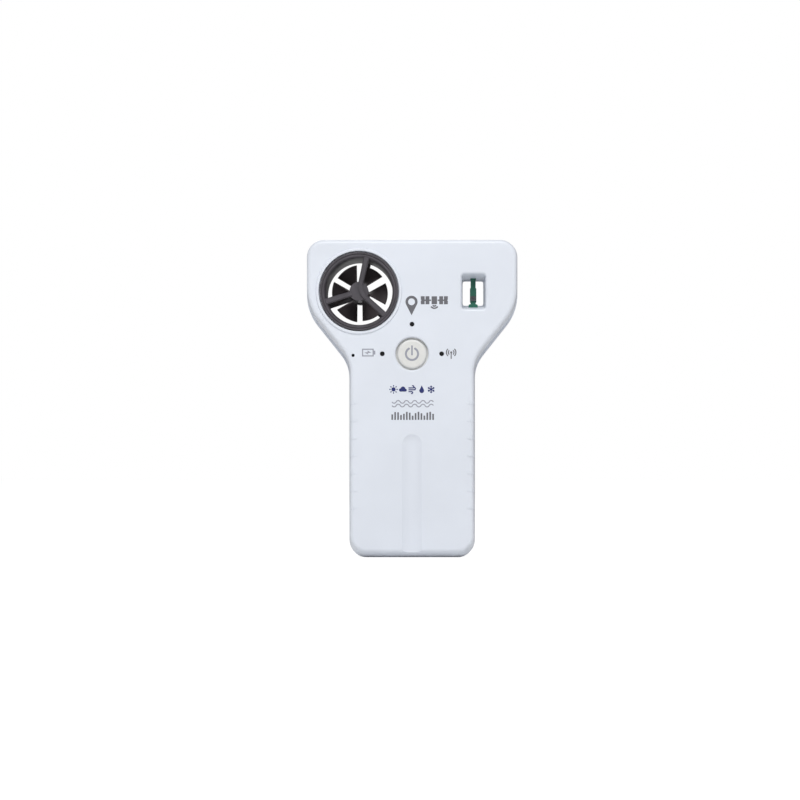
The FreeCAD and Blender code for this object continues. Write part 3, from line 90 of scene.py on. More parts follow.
class SensorColours(bpy.types.PropertyGroup):
    """Colours of the finishes."""
    case: bpy.props.FloatVectorProperty(
        name="Case", description="Cool white moulded plastic of both case halves",
        default=(0.70, 0.735, 0.80), size=3, min=0, max=1, subtype="COLOR")
    ring: bpy.props.FloatVectorProperty(
        name="Strut rings", description="Dark grey plastic of the two rings",
        default=(0.062, 0.056, 0.066), size=3, min=0, max=1, subtype="COLOR")
    blade: bpy.props.FloatVectorProperty(
        name="Impeller", description="Near-black plastic of the impeller",
        default=(0.046, 0.037, 0.040), size=3, min=0, max=1, subtype="COLOR")
    button: bpy.props.FloatVectorProperty(
        name="Button", description="Light grey plastic of the power button",
        default=(0.70, 0.70, 0.68), size=3, min=0, max=1, subtype="COLOR")
    grey_ink: bpy.props.FloatVectorProperty(
        name="Grey ink", description="Ink of the small printed signs",
        default=(0.125, 0.125, 0.14), size=3, min=0, max=1, subtype="COLOR")
    pale_ink: bpy.props.FloatVectorProperty(
        name="Pale ink", description="Ink of the battery sign and the upper line",
        default=(0.30, 0.31, 0.36), size=3, min=0, max=1, subtype="COLOR")
    blue_ink: bpy.props.FloatVectorProperty(
        name="Blue ink", description="Ink of the row of weather signs",
        default=(0.010, 0.018, 0.13), size=3, min=0, max=1, subtype="COLOR")
    solder_mask: bpy.props.FloatVectorProperty(
        name="Solder mask", description="Green coating of the circuit boards",
        default=(0.020, 0.13, 0.085), size=3, min=0, max=1, subtype="COLOR")


class SensorSizes(bpy.types.PropertyGroup):
    """Sizes of what is added to the frame, in metres."""
    ink_height: bpy.props.FloatProperty(
        name="Ink height", description="How far the printed signs stand above the case",
        default=0.03 * MM, unit="LENGTH")
    row_pitch: bpy.props.FloatProperty(
        name="Sign pitch", description="Distance between the blue weather signs",
        default=4.1 * MM, unit="LENGTH")
    thread_pitch: bpy.props.FloatProperty(
        name="Thread pitch", description="Pitch of the tripod thread",
        default=25.4 / 20 * MM, unit="LENGTH")


class SensorStage(bpy.types.PropertyGroup):
    """Camera, floor and light."""
    distance: bpy.props.FloatProperty(
        name="Camera distance", description="From the camera to the parting plane of the case",
        default=0.8125, unit="LENGTH", subtype="DISTANCE")
    eye_height: bpy.props.FloatProperty(
        name="Camera height", description="Height of the level camera above the base",
        default=0.038, unit="LENGTH", subtype="DISTANCE")
    eye_side: bpy.props.FloatProperty(
        name="Camera side step", description="How far the camera stands to the right of the middle",
        default=0.006, unit="LENGTH", subtype="DISTANCE")
    view_middle: bpy.props.FloatProperty(
        name="Height in the middle", description="Height that the lens is shifted up to look at",
        default=0.0693, unit="LENGTH", subtype="DISTANCE")
    view_side: bpy.props.FloatProperty(
        name="Place in the middle", description="Distance to the right that the lens is shifted to",
        default=-0.0054, unit="LENGTH", subtype="DISTANCE")
    view_width: bpy.props.FloatProperty(
        name="Width seen", description="Width of the view at the parting plane",
        default=0.3544, unit="LENGTH", subtype="DISTANCE")
    key_strength: bpy.props.FloatProperty(
        name="Main light", description="Power of the wide soft light above and in front",
        default=12.9, min=0, unit="POWER")
    back_strength: bpy.props.FloatProperty(
        name="Back light", description="Power of the weaker light above and behind",
        default=4.0, min=0, unit="POWER")
    fill_strength: bpy.props.FloatProperty(
        name="Surroundings", description="Strength of the even light from all round",
        default=0.29, min=0)


def settings(kind):
    """The settings group of that kind."""
    return getattr(bpy.context.scene, "weather_" + kind)


# ---- shader maths ----

class Signal:
    """A shader socket whose maths is written as plain expressions."""

    def __init__(self, shader, socket):
        self.shader = shader
        self.socket = socket

    def maths(self, operation, *values):
        inputs = {index: value for index, value in enumerate(values)}
        return self.shader.node("Math", {"operation": operation}, inputs)

    def __add__(self, other):
        return self.maths("ADD", self, other)

    def __radd__(self, other):
        return self.maths("ADD", other, self)

    def __sub__(self, other):
        return self.maths("SUBTRACT", self, other)

    def __rsub__(self, other):
        return self.maths("SUBTRACT", other, self)

    def __mul__(self, other):
        return self.maths("MULTIPLY", self, other)


class Shader:
    """A material built node by node."""

    def __init__(self, name):
        self.material = bpy.data.materials.new(name)
        self.material.use_nodes = True
        self.tree = self.material.node_tree
        self.tree.nodes.clear()
        self.output = self.tree.nodes.new("ShaderNodeOutputMaterial")
        self.surface = self.tree.nodes.new("ShaderNodeBsdfPrincipled")
        self.tree.links.new(self.surface.outputs["BSDF"], self.output.inputs["Surface"])
        self.place = self.node("TexCoord", output="Object")

    def node(self, kind, settings_=None, inputs=None, output=0):
        """Add a node of that type: settings first, then the values or links of its sockets."""
        node = self.tree.nodes.new("ShaderNode" + kind)
        for name, value in (settings_ or {}).items():
            setattr(node, name, value)
        for name, value in (inputs or {}).items():
            self.feed(node.inputs[name], value)
        return Signal(self, node.outputs[output])

    def feed(self, socket, value):
        if isinstance(value, Signal):
            self.tree.links.new(value.socket, socket)
        else:
            socket.default_value = value

    def noise(self, scale, detail=2.0, roughness=0.5, stretch=None):
        """Soft random values, with features about 1/scale of a metre across."""
        place = self.place
        if stretch:
            place = self.node("VectorMath", {"operation": "MULTIPLY"}, {0: place, 1: stretch})
        return self.node("TexNoise", None, {"Vector": place, "Scale": scale, "Detail": detail,
                                            "Roughness": roughness})

    def ramp(self, value, low, high):
        """0 below low, 1 above high, and a smooth change between."""
        return self.node("MapRange", {"interpolation_type": "SMOOTHSTEP"},
                         {"Value": value, "From Min": low, "From Max": high})

    def mix(self, share, one, other):
        """A colour between two colours."""
        return self.node("Mix", {"data_type": "RGBA"},
                         {0: share, 6: self.opaque(one), 7: self.opaque(other)}, 2)

    def opaque(self, colour):
        """A plain colour with its alpha; a signal stays as it is."""
        return colour if isinstance(colour, Signal) else (*colour[:3], 1.0)

    def worn_edges(self, radius, strength=1.0):
        """1 on sharp outer edges and 0 on flat faces."""
        bevel = self.node("Bevel", {"samples": 4}, {"Radius": radius})
        normal = self.node("NewGeometry", output="Normal")
        across = self.node("VectorMath", {"operation": "DOT_PRODUCT"}, {0: bevel, 1: normal}, "Value")
        return self.ramp(1.0 - across, 0.02, 0.3) * strength

    def blend(self, share, other):
        """Mix another surface into this one."""
        mixed = self.node("MixShader", None, {0: share, 1: Signal(self, self.surface.outputs["BSDF"]),
                                              2: other})
        self.feed(self.output.inputs["Surface"], mixed)

    def finish(self, colour, roughness, bump=None, bump_height=0.00002, **constants):
        """Feed the surface; constants go straight on its own sockets."""
        self.feed(self.surface.inputs["Base Color"], self.opaque(colour))
        self.feed(self.surface.inputs["Roughness"], roughness)
        if bump is not None:
            normal = self.node("Bump", None, {"Height": bump, "Distance": bump_height, "Strength": 1.0})
            self.feed(self.surface.inputs["Normal"], normal)
        for name, value in constants.items():
            self.feed(self.surface.inputs[name.replace("_", " ")], value)
        return self.material


def tinted(colour, factor):
    return tuple(min(1.0, channel * factor) for channel in colour)


# ---- finishes ----

def case_plastic():
    """Satin ABS: fine spark-eroded grain, faint cloudiness and a little dust."""
    shader = Shader("case_plastic")
    colour = tuple(settings("colours").case)
    cloud = shader.noise(35.0, 3.0)
    grain = shader.noise(5200.0, 2.0, 0.6)
    dust = shader.ramp(shader.noise(900.0, 4.0, 0.7), 0.66, 0.80)
    shade = shader.mix(shader.ramp(cloud, 0.35, 0.65), tinted(colour, 0.985), tinted(colour, 1.012))
    shade = shader.mix(dust * 0.06, shade, tinted(colour, 0.8))
    roughness = 0.36 + grain * 0.10 + cloud * 0.05
    return shader.finish(shade, roughness, grain, 0.000009, IOR=1.52, Subsurface_Weight=0.04,
                         Subsurface_Radius=(0.002, 0.002, 0.0022), Coat_Weight=0.06, Coat_Roughness=0.25)


def dark_plastic(name, colour, rough, grain_scale=4200.0, wear=0.35):
    """Moulded dark plastic with fine grain, flow marks and paler worn edges."""
    shader = Shader(name)
    grain = shader.noise(grain_scale, 2.0, 0.6)
    flow = shader.noise(220.0, 3.0, 0.55, (1.0, 1.0, 0.35))
    shade = shader.mix(shader.ramp(flow, 0.35, 0.7), tinted(colour, 0.86), tinted(colour, 1.16))
    shade = shader.mix(shader.worn_edges(0.00018, wear), shade, tinted(colour, 2.1))
    return shader.finish(shade, rough + grain * 0.16, grain, 0.000012, IOR=1.5)


def button_plastic():
    """Satin grey plastic with soft smudges that are a little paler and shinier."""
    shader = Shader("button_plastic")
    colour = tuple(settings("colours").button)
    grain = shader.noise(5200.0, 2.0, 0.6)
    smudge = shader.ramp(shader.noise(260.0, 3.0), 0.42, 0.62)
    shade = shader.mix(smudge, tinted(colour, 0.975), tinted(colour, 1.015))
    return shader.finish(shade, 0.34 + grain * 0.1 - smudge * 0.05, grain, 0.000008, IOR=1.5,
                         Coat_Weight=0.08, Coat_Roughness=0.2)


def smoked_plastic():
    """Smoked light pipe: almost black, smooth and glossy."""
    shader = Shader("smoked_plastic")
    swirl = shader.noise(1600.0, 2.0)
    shade = shader.mix(swirl, (0.004, 0.004, 0.005), (0.013, 0.012, 0.014))
    return shader.finish(shade, 0.12 + swirl * 0.12, swirl, 0.000004, IOR=1.5)


def lamp_plastic():
    """Milky lens of the small status lights."""
    shader = Shader("lamp_plastic")
    speck = shader.noise(3000.0, 2.0)
    return shader.finish(shader.mix(speck, (0.72, 0.70, 0.55), (0.85, 0.84, 0.72)), 0.3 + speck * 0.1,
                         speck, 0.000005)


def printed_ink(name, colour):
    """Screen-printed ink: an even film with tiny pinholes of thinner ink."""
    shader = Shader(name)
    mesh = shader.noise(6500.0, 2.0, 0.7)
    thin = shader.ramp(mesh, 0.60, 0.78)
    shade = shader.mix(thin * 0.35, colour, tinted(tuple(c + 0.05 for c in colour), 1.3))
    return shader.finish(shade, 0.42 + mesh * 0.14, mesh, 0.000006, IOR=1.48)


def circuit_board():
    """Green solder mask with the paler tracks under it and the weave of the laminate."""
    shader = Shader("circuit_board")
    colour = tuple(settings("colours").solder_mask)
    tracks = shader.node("TexBrick", {"offset": 0.35, "squash": 1.0},
                         {"Vector": shader.node("VectorMath", {"operation": "MULTIPLY"},
                                                {0: shader.place, 1: (1.0, 0.0, 1.0)}),
                          "Scale": 520.0, "Mortar Size": 0.05, "Brick Width": 0.9,
                          "Row Height": 0.32, "Color1": (1, 1, 1, 1), "Color2": (0.7, 0.7, 0.7, 1),
                          "Mortar": (0, 0, 0, 1)}, "Fac")
    weave = shader.noise(2600.0, 2.0)
    shade = shader.mix(tracks * 0.8, tinted(colour, 1.55), colour)
    shade = shader.mix(weave * 0.4, shade, tinted(colour, 0.7))
    return shader.finish(shade, 0.26 + weave * 0.12, tracks * 0.5 + weave * 0.2, 0.00001, IOR=1.5)


def chip_moulding():
    """Matt black moulding of the chips."""
    shader = Shader("chip_moulding")
    grain = shader.noise(7000.0, 2.0, 0.7)
    shade = shader.mix(grain, (0.040, 0.042, 0.046), (0.075, 0.078, 0.083))
    return shader.finish(shade, 0.45 + grain * 0.2, grain, 0.00001)


def metal(name, colour, rough, scale=2400.0, stretch=(1.0, 1.0, 0.08)):
    """Bare metal with fine drawing marks and small stains."""
    shader = Shader(name)
    lines = shader.noise(scale, 3.0, 0.6, stretch)
    stain = shader.ramp(shader.noise(420.0, 3.0), 0.55, 0.8)
    shade = shader.mix(lines * 0.5, tinted(colour, 1.05), tinted(colour, 0.8))
    shade = shader.mix(stain * 0.25, shade, tinted(colour, 0.55))
    return shader.finish(shade, rough + lines * 0.14 + stain * 0.08, lines, 0.000006, Metallic=1.0)


def rubber(name, colour, rough=0.6):
    """Rubber with a faint pale bloom."""
    shader = Shader(name)
    bloom = shader.noise(1500.0, 3.0)
    bloomed = tinted(tuple(c + 0.012 for c in colour), 1.3)
    shade = shader.mix(shader.ramp(bloom, 0.4, 0.7), colour, bloomed)
    return shader.finish(shade, rough + bloom * 0.18, bloom, 0.00001)


def label_film():
    """Blank satin label: fine paper-like tooth."""
    shader = Shader("label_film")
    tooth = shader.noise(4200.0, 3.0, 0.65)
    shade = shader.mix(shader.noise(90.0, 2.0), (0.62, 0.635, 0.66), (0.70, 0.71, 0.73))
    return shader.finish(shade, 0.40 + tooth * 0.12, tooth, 0.00001)


def jewel_ruby():
    """Polished ruby of the two bearings."""
    shader = Shader("jewel_ruby")
    depth = shader.noise(1400.0, 2.0)
    return shader.finish(shader.mix(depth, (0.30, 0.006, 0.03), (0.52, 0.02, 0.07)), 0.06 + depth * 0.05,
                         IOR=1.77, Coat_Weight=0.5)


def antenna_ceramic():
    """Beige ceramic with fine grit."""
    shader = Shader("antenna_ceramic")
    grit = shader.noise(5200.0, 3.0)
    return shader.finish(shader.mix(grit, (0.52, 0.43, 0.30), (0.63, 0.54, 0.40)), 0.5 + grit * 0.15,
                         grit, 0.00001)


def cell_foil():
    """Crinkled silver laminate of the cell."""
    shader = Shader("cell_foil")
    crinkle = shader.noise(160.0, 5.0, 0.6)
    return shader.finish(shader.mix(crinkle, (0.55, 0.56, 0.58), (0.78, 0.79, 0.80)),
                         0.28 + crinkle * 0.2, crinkle, 0.00025, Metallic=0.9)


def nylon():
    """Natural nylon with milky clouds."""
    shader = Shader("natural_nylon")
    milk = shader.noise(700.0, 3.0)
    return shader.finish(shader.mix(milk, (0.70, 0.66, 0.55), (0.80, 0.77, 0.68)), 0.42 + milk * 0.12,
                         milk, 0.00001, Subsurface_Weight=0.05)


def make_finishes():
    """Every finish by name, with the CAD nodes that carry it."""
    colours = settings("colours")
    return {
        "case": (case_plastic(), ["front_shell", "rear_shell"]),
        "ring": (dark_plastic("ring_plastic", tuple(colours.ring), 0.36),
                 ["front_strut_ring", "rear_strut_ring"]),
        "tube": (dark_plastic("tube_plastic", tinted(tuple(colours.ring), 0.55), 0.40), ["wind_tube"]),
        "blade": (dark_plastic("impeller_plastic", tuple(colours.blade), 0.42), ["impeller"]),
        "button": (button_plastic(), ["power_button"]),
        "plunger": (dark_plastic("plunger_plastic", (0.22, 0.07, 0.03), 0.4), ["power_switch_plunger"]),
        "smoke": (smoked_plastic(), ["battery_light_pipe", "radio_light_pipe", "gps_light_pipe"]),
        "lamp": (lamp_plastic(), ["status_leds"]),
        "board": (circuit_board(), ["main_board", "sensor_board", "gps_module"]),
        "chip": (chip_moulding(), ["humidity_sensor", "hall_sensor", "processor_chip",
                                   "power_switch_body"]),
        "can": (metal("tinned_can", (0.66, 0.66, 0.65), 0.25), ["usb_socket", "radio_module",
                                                               "pressure_sensor"]),
        "screw": (metal("zinc_screw", (0.50, 0.50, 0.52), 0.28), ["case_screws", "board_screws"]),
        "axle": (metal("axle_steel", (0.62, 0.62, 0.63), 0.12), ["impeller_axle"]),
        "magnet": (metal("magnet_nickel", (0.50, 0.50, 0.50), 0.3), ["impeller_magnet"]),
        "brass": (metal("insert_brass", (0.72, 0.50, 0.22), 0.24, 1800.0, (1.0, 1.0, 0.2)),
                  ["tripod_insert"]),
        "jewel": (jewel_ruby(), ["front_jewel_bearing", "rear_jewel_bearing"]),
        "seal": (rubber("seal_rubber", (0.012, 0.012, 0.013)), ["tube_o_rings"]),
        "foam": (rubber("battery_foam", (0.03, 0.03, 0.032), 0.75), ["battery_pad"]),
        "film": (label_film(), ["rear_label"]),
        "membrane": (rubber("vent_membrane", (0.010, 0.010, 0.011), 0.8), ["vent_membrane"]),
        "ceramic": (antenna_ceramic(), ["gps_antenna"]),
        "foil": (cell_foil(), ["battery"]),
        "nylon": (nylon(), ["battery_connector", "battery_plug"]),
        "red": (rubber("lead_red", (0.36, 0.012, 0.012), 0.42), ["battery_lead_red"]),
        "black": (rubber("lead_black", (0.012, 0.012, 0.012), 0.42), ["battery_lead_black"]),
    }


INKS = {"grey": "grey_ink", "pale": "pale_ink", "blue": "blue_ink"}


def ink(kind):
    """The printed ink of that kind, made once."""
    name = kind + "_print"
    if name not in bpy.data.materials:
        printed_ink(name, tuple(getattr(settings("colours"), INKS[kind])))
    return bpy.data.materials[name]


# ---- modelling helpers ----

def start_clean():
    """Leave edit mode and deselect everything."""
    if bpy.context.mode != "OBJECT":
        bpy.ops.object.mode_set(mode="OBJECT")
    bpy.ops.object.select_all(action="DESELECT")


def edit_all(piece):
    """Go into edit mode on one piece with all of it selected."""
    start_clean()
    piece.select_set(True)
    bpy.context.view_layer.objects.active = piece
    bpy.ops.object.mode_set(mode="EDIT")
    bpy.ops.mesh.select_all(action="SELECT")


def named(name):
    """Name the object that was just added."""
    piece = bpy.context.object
    piece.name = name
    piece.data.name = name
    return piece


def disc(centre, radius, steps=48):
    """A flat disc in a sign's own plane."""
    start_clean()
    bpy.ops.mesh.primitive_circle_add(vertices=steps, radius=radius, fill_type="NGON",
                                      location=(centre[0], centre[1], 0))
    return named("disc")


def ring(centre, outer, inner, steps=56):
    """A flat ring: a circle whose edge is extruded and widened."""
    start_clean()
    bpy.ops.mesh.primitive_circle_add(vertices=steps, radius=inner, fill_type="NOTHING",
                                      location=(centre[0], centre[1], 0))
    piece = named("ring")
    edit_all(piece)
    bpy.ops.mesh.extrude_edges_move()
    bpy.ops.transform.resize(value=(outer / inner, outer / inner, 1),
                             center_override=(centre[0], centre[1], 0))
    bpy.ops.object.mode_set(mode="OBJECT")
    return piece


def bar(centre, wide, tall, turn=0.0):
    """A flat rectangle, turned about its middle by an angle in degrees."""
    start_clean()
    bpy.ops.mesh.primitive_plane_add(size=1, location=(centre[0], centre[1], 0))
    piece = named("bar")
    piece.scale = (wide, tall, 1)
    piece.rotation_euler.z = math.radians(turn)
    bpy.ops.object.transform_apply(location=False, rotation=True, scale=True)
    return piece


def outline(points):
    """A flat face inside a closed outline, drawn corner by corner."""
    start_clean()
    bpy.ops.mesh.primitive_plane_add(size=1, location=(0, 0, 0))
    piece = named("outline")
    edit_all(piece)
    bpy.ops.mesh.merge(type="CENTER")
    bpy.ops.transform.translate(value=(points[0][0], points[0][1], 0))
    for before, after in zip(points, points[1:]):
        step = (after[0] - before[0], after[1] - before[1], 0)
        bpy.ops.mesh.extrude_region_move(TRANSFORM_OT_translate={"value": step})
    bpy.ops.mesh.select_all(action="SELECT")
    bpy.ops.mesh.edge_face_add()
    bpy.ops.object.mode_set(mode="OBJECT")
    return piece


def arc_band(centre, radius, wide, start, end, steps=24):
    """A flat band along an arc: a short edge spun from one angle to the other, in degrees."""
    start_clean()
    bpy.ops.mesh.primitive_plane_add(size=wide, location=(0, 0, 0))
    piece = named("arc_band")
    edit_all(piece)
    bpy.ops.transform.resize(value=(1, 0, 1))
    bpy.ops.mesh.remove_doubles(threshold=wide / 100)
    bpy.ops.transform.translate(value=(radius, 0, 0))
    bpy.ops.mesh.select_all(action="SELECT")
    bpy.ops.mesh.spin(steps=steps, angle=math.radians(start - end), center=(0, 0, 0), axis=(0, 0, 1))
    bpy.ops.object.mode_set(mode="OBJECT")
    piece.rotation_euler.z = math.radians(start)
    piece.location = (centre[0], centre[1], 0)
    bpy.ops.object.transform_apply(location=True, rotation=True, scale=True)
    return piece


def arc_points(centre, radius, start, end, steps=20):
    """Points along an arc, by angles in degrees counter-clockwise from the right."""
    points = []
    for index in range(steps + 1):
        angle = math.radians(start + (end - start) * index / steps)
        points.append((centre[0] + radius * math.cos(angle), centre[1] + radius * math.sin(angle)))
    return points


def join(name, pieces):
    """Join flat pieces into one object, keeping each where it is."""
    start_clean()
    for piece in pieces:
        piece.select_set(True)
    bpy.context.view_layer.objects.active = pieces[0]
    bpy.ops.object.transform_apply(location=True, rotation=True, scale=True)
    if len(pieces) > 1:
        bpy.ops.object.join()
    return named(name)


def apply_modifiers(piece):
    """Apply every modifier of a piece in order."""
    start_clean()
    piece.select_set(True)
    bpy.context.view_layer.objects.active = piece
    for modifier in list(piece.modifiers):
        bpy.ops.object.modifier_apply(modifier=modifier.name)


def melt_together(piece):
    """Make one body of the closed shapes of a piece that cross each other."""
    edit_all(piece)
    bpy.ops.mesh.intersect_boolean(operation="UNION", use_self=True, solver="EXACT")
    bpy.ops.object.mode_set(mode="OBJECT")


def print_sign(name, pieces, where, depth, material, body):
    """Join a sign's flat shapes, lay them on a face that looks along -y and thicken the film."""
    sign = join(name, pieces)
    for corner in sign.data.vertices:
        across, up, _ = corner.co
        corner.co = (where[0] + across, depth, where[1] + up)
    mesh = bmesh.new()
    mesh.from_mesh(sign.data)
    bmesh.ops.triangulate(mesh, faces=[face for face in mesh.faces if len(face.verts) > 3])
    for face in mesh.faces:
        if face.normal.y > 0:
            face.normal_flip()
    mesh.to_mesh(sign.data)
    mesh.free()
    film = sign.modifiers.new("film", "SOLIDIFY")
    film.thickness = settings("sizes").ink_height * FILM_SHARE
    film.offset = FILM_OFFSET
    apply_modifiers(sign)
    if len(pieces) > 1:
        melt_together(sign)
    finish_piece(sign, material, body)


def finish_piece(piece, material, body):
    """Give a piece its material and body."""
    piece.data.materials.clear()
    piece.data.materials.append(material)
    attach(piece, body)


# ---- printed signs: each returns flat shapes about the sign's own middle, in metres ----

def pin_shapes(outer, hole, drop):
    """A location pin: a ring with a pointed foot that touches its sides."""
    lean = math.asin(outer / drop)
    across, low = outer * math.cos(lean), -outer * math.sin(lean)
    foot = [(-across, low), (0, -drop), (across, low), (0, -(outer + hole) / 2)]
    return [ring((0, 0), outer, hole), outline(foot)]


def satellite_shapes(wide, tall):
    """A satellite with two panels of four cells and two arcs of its signal."""
    core = tall * 0.46
    gap = tall * 0.07
    lift = tall * 0.17
    cell_wide = (wide - core) / 2 * 0.36
    cell_tall = tall * 0.30
    shapes = [bar((0, lift), core, tall * 0.66)]
    for side in (-1, 1):
        for column in (0, 1):
            across = side * (wide / 2 - cell_wide / 2 - column * (cell_wide + gap))
            for row in (-1, 1):
                shapes.append(bar((across, lift + row * (cell_tall + gap) / 2), cell_wide, cell_tall))
        shapes.append(bar((side * wide * 0.3, lift), wide * 0.36, gap * 1.7))
    for radius in (0.16, 0.34):
        shapes.append(arc_band((0, -tall * 0.16), tall * radius, tall * 0.12, 215, 325))
    return shapes


def battery_shapes(wide, tall):
    """A battery outline with its end cap and a charging bolt."""
    line = tall * 0.145
    body_wide = wide * 0.88
    left = -wide / 2
    middle_x = left + body_wide / 2
    cap = tall * 0.5
    shapes = [
        bar((middle_x, (tall - line) / 2), body_wide, line),
        bar((middle_x, -(tall - line) / 2), body_wide, line),
        bar((left + line / 2, 0), line, tall),
        bar((left + body_wide - line / 2, 0), line, tall),
        bar((wide / 2 - wide * 0.065, 0), wide * 0.13, cap),
    ]
    bolt = [(0.42, 0.00), (-0.06, 0.26), (0.00, 0.06), (-0.42, 0.02), (0.06, -0.26), (0.00, -0.06)]
    shapes.append(outline([(middle_x + x * tall * 1.1, y * tall) for x, y in bolt]))
    return shapes


def radio_shapes(tall):
    """A small mast with arcs of radio waves on both sides."""
    line = tall * 0.10
    shapes = [disc((0, tall * 0.12), tall * 0.10), bar((0, -tall * 0.20), line, tall * 0.56)]
    for radius in (0.26, 0.44):
        for start in (-48, 132):
            shapes.append(arc_band((0, tall * 0.12), tall * radius, line, start, start + 96))
    return shapes


def power_shapes(outer, line, mark, gap):
    """An open ring with a bar that stands in its gap."""
    middle = outer - line / 2
    ring_line = arc_band((0, 0), middle, line, 90 + gap, 450 - gap, 60)
    shapes = [ring_line, bar((0, middle + line * 0.15 - mark / 2 + line), line * 0.82, mark)]
    for side in (-1, 1):
        angle = math.radians(90 + side * gap)
        shapes.append(disc((middle * math.cos(angle), middle * math.sin(angle)), line / 2, 20))
    return shapes


def sun_shapes(size):
    """A sun: a disc with eight rays."""
    shapes = [disc((0, 0), size * 0.25)]
    for index in range(8):
        angle = 45 * index
        reach = size * 0.42
        across, up = math.cos(math.radians(angle)), math.sin(math.radians(angle))
        shapes.append(bar((reach * across, reach * up), size * 0.17, size * 0.12, angle))
    return shapes


def cloud_shapes(size):
    """A cloud: three rounds on a flat foot."""
    low = -size * 0.26
    return [
        disc((-size * 0.27, low + size * 0.19), size * 0.19),
        disc((0, size * 0.06), size * 0.28),
        disc((size * 0.28, low + size * 0.17), size * 0.17),
        bar((size * 0.005, low + size * 0.15), size * 0.55, size * 0.30),
    ]


def wind_shapes(size):
    """Three gusts, two of them with a curled end."""
    line = size * 0.135
    left = -size * 0.45
    shapes = []
    for row, (length, curl) in enumerate(((0.50, 0.13), (0.68, 0.13), (0.38, 0.11))):
        up = size * (0.17 - 0.22 * row)
        end = left + size * length
        turn = 1 if row < 2 else -1
        shapes.append(bar(((left + end) / 2, up), end - left, line))
        bend = (end, up + turn * size * curl)
        shapes.append(arc_band(bend, size * curl, line, -90 * turn, 130 * turn, 14))
    return shapes


def drop_shapes(size):
    """A rain drop: a round foot with sides that run up to a point."""
    foot = (0, -size * 0.16)
    return [outline(arc_points(foot, size * 0.28, 152, 388, 28) + [(0, size * 0.47)])]


def flake_shapes(size):
    """A six-armed snow flake."""
    shapes = [bar((0, 0), size * 0.88, size * 0.12, 90 + 60 * index) for index in range(3)]
    for index in range(6):
        angle = 90 + 60 * index
        along = Vector((math.cos(math.radians(angle)), math.sin(math.radians(angle))))
        for lean in (-50, 50):
            tip = Vector((math.cos(math.radians(angle + lean)), math.sin(math.radians(angle + lean))))
            centre = along * size * 0.25 + tip * size * 0.075
            shapes.append(bar((centre.x, centre.y), size * 0.17, size * 0.09, angle + lean))
    return shapes


def wave_shapes(wide, tall, line):
    """Two thin lines that rise and fall like a pressure trace, each a chain of arcs."""
    shapes = []
    halves = 10
    chord = wide / halves
    swing = (tall / 2 - line) / 2
    radius = (chord * chord / 4 + swing * swing) / (2 * swing)
    spread = math.degrees(math.asin(chord / 2 / radius))
    for row in (-1, 1):
        for index in range(halves):
            across = chord * (index + 0.5) - wide / 2
            side = 1 if index % 2 else -1
            centre = (across, row * tall / 4 - side * (radius - swing))
            shapes.append(arc_band(centre, radius, line, side * 90 - spread, side * 90 + spread, 12))
    return shapes


def bars_shapes(wide, tall, count=15):
    """A row of short bars like a reading over a day."""
    pitch = wide / count
    shapes = []
    for index in range(count):
        share = 0.45 + 0.50 * abs(math.sin(index * 0.83 + 0.4))
        height = tall * share
        middle_x = -wide / 2 + pitch * (index + 0.5)
        shapes.append(bar((middle_x, -tall / 2 + height / 2), pitch * 0.56, height))
    return shapes


def move_shapes(pieces, across, up):
    """Shift flat shapes within their sign."""
    for piece in pieces:
        piece.location.x += across
        piece.location.y += up
    return pieces


# ---- operators ----

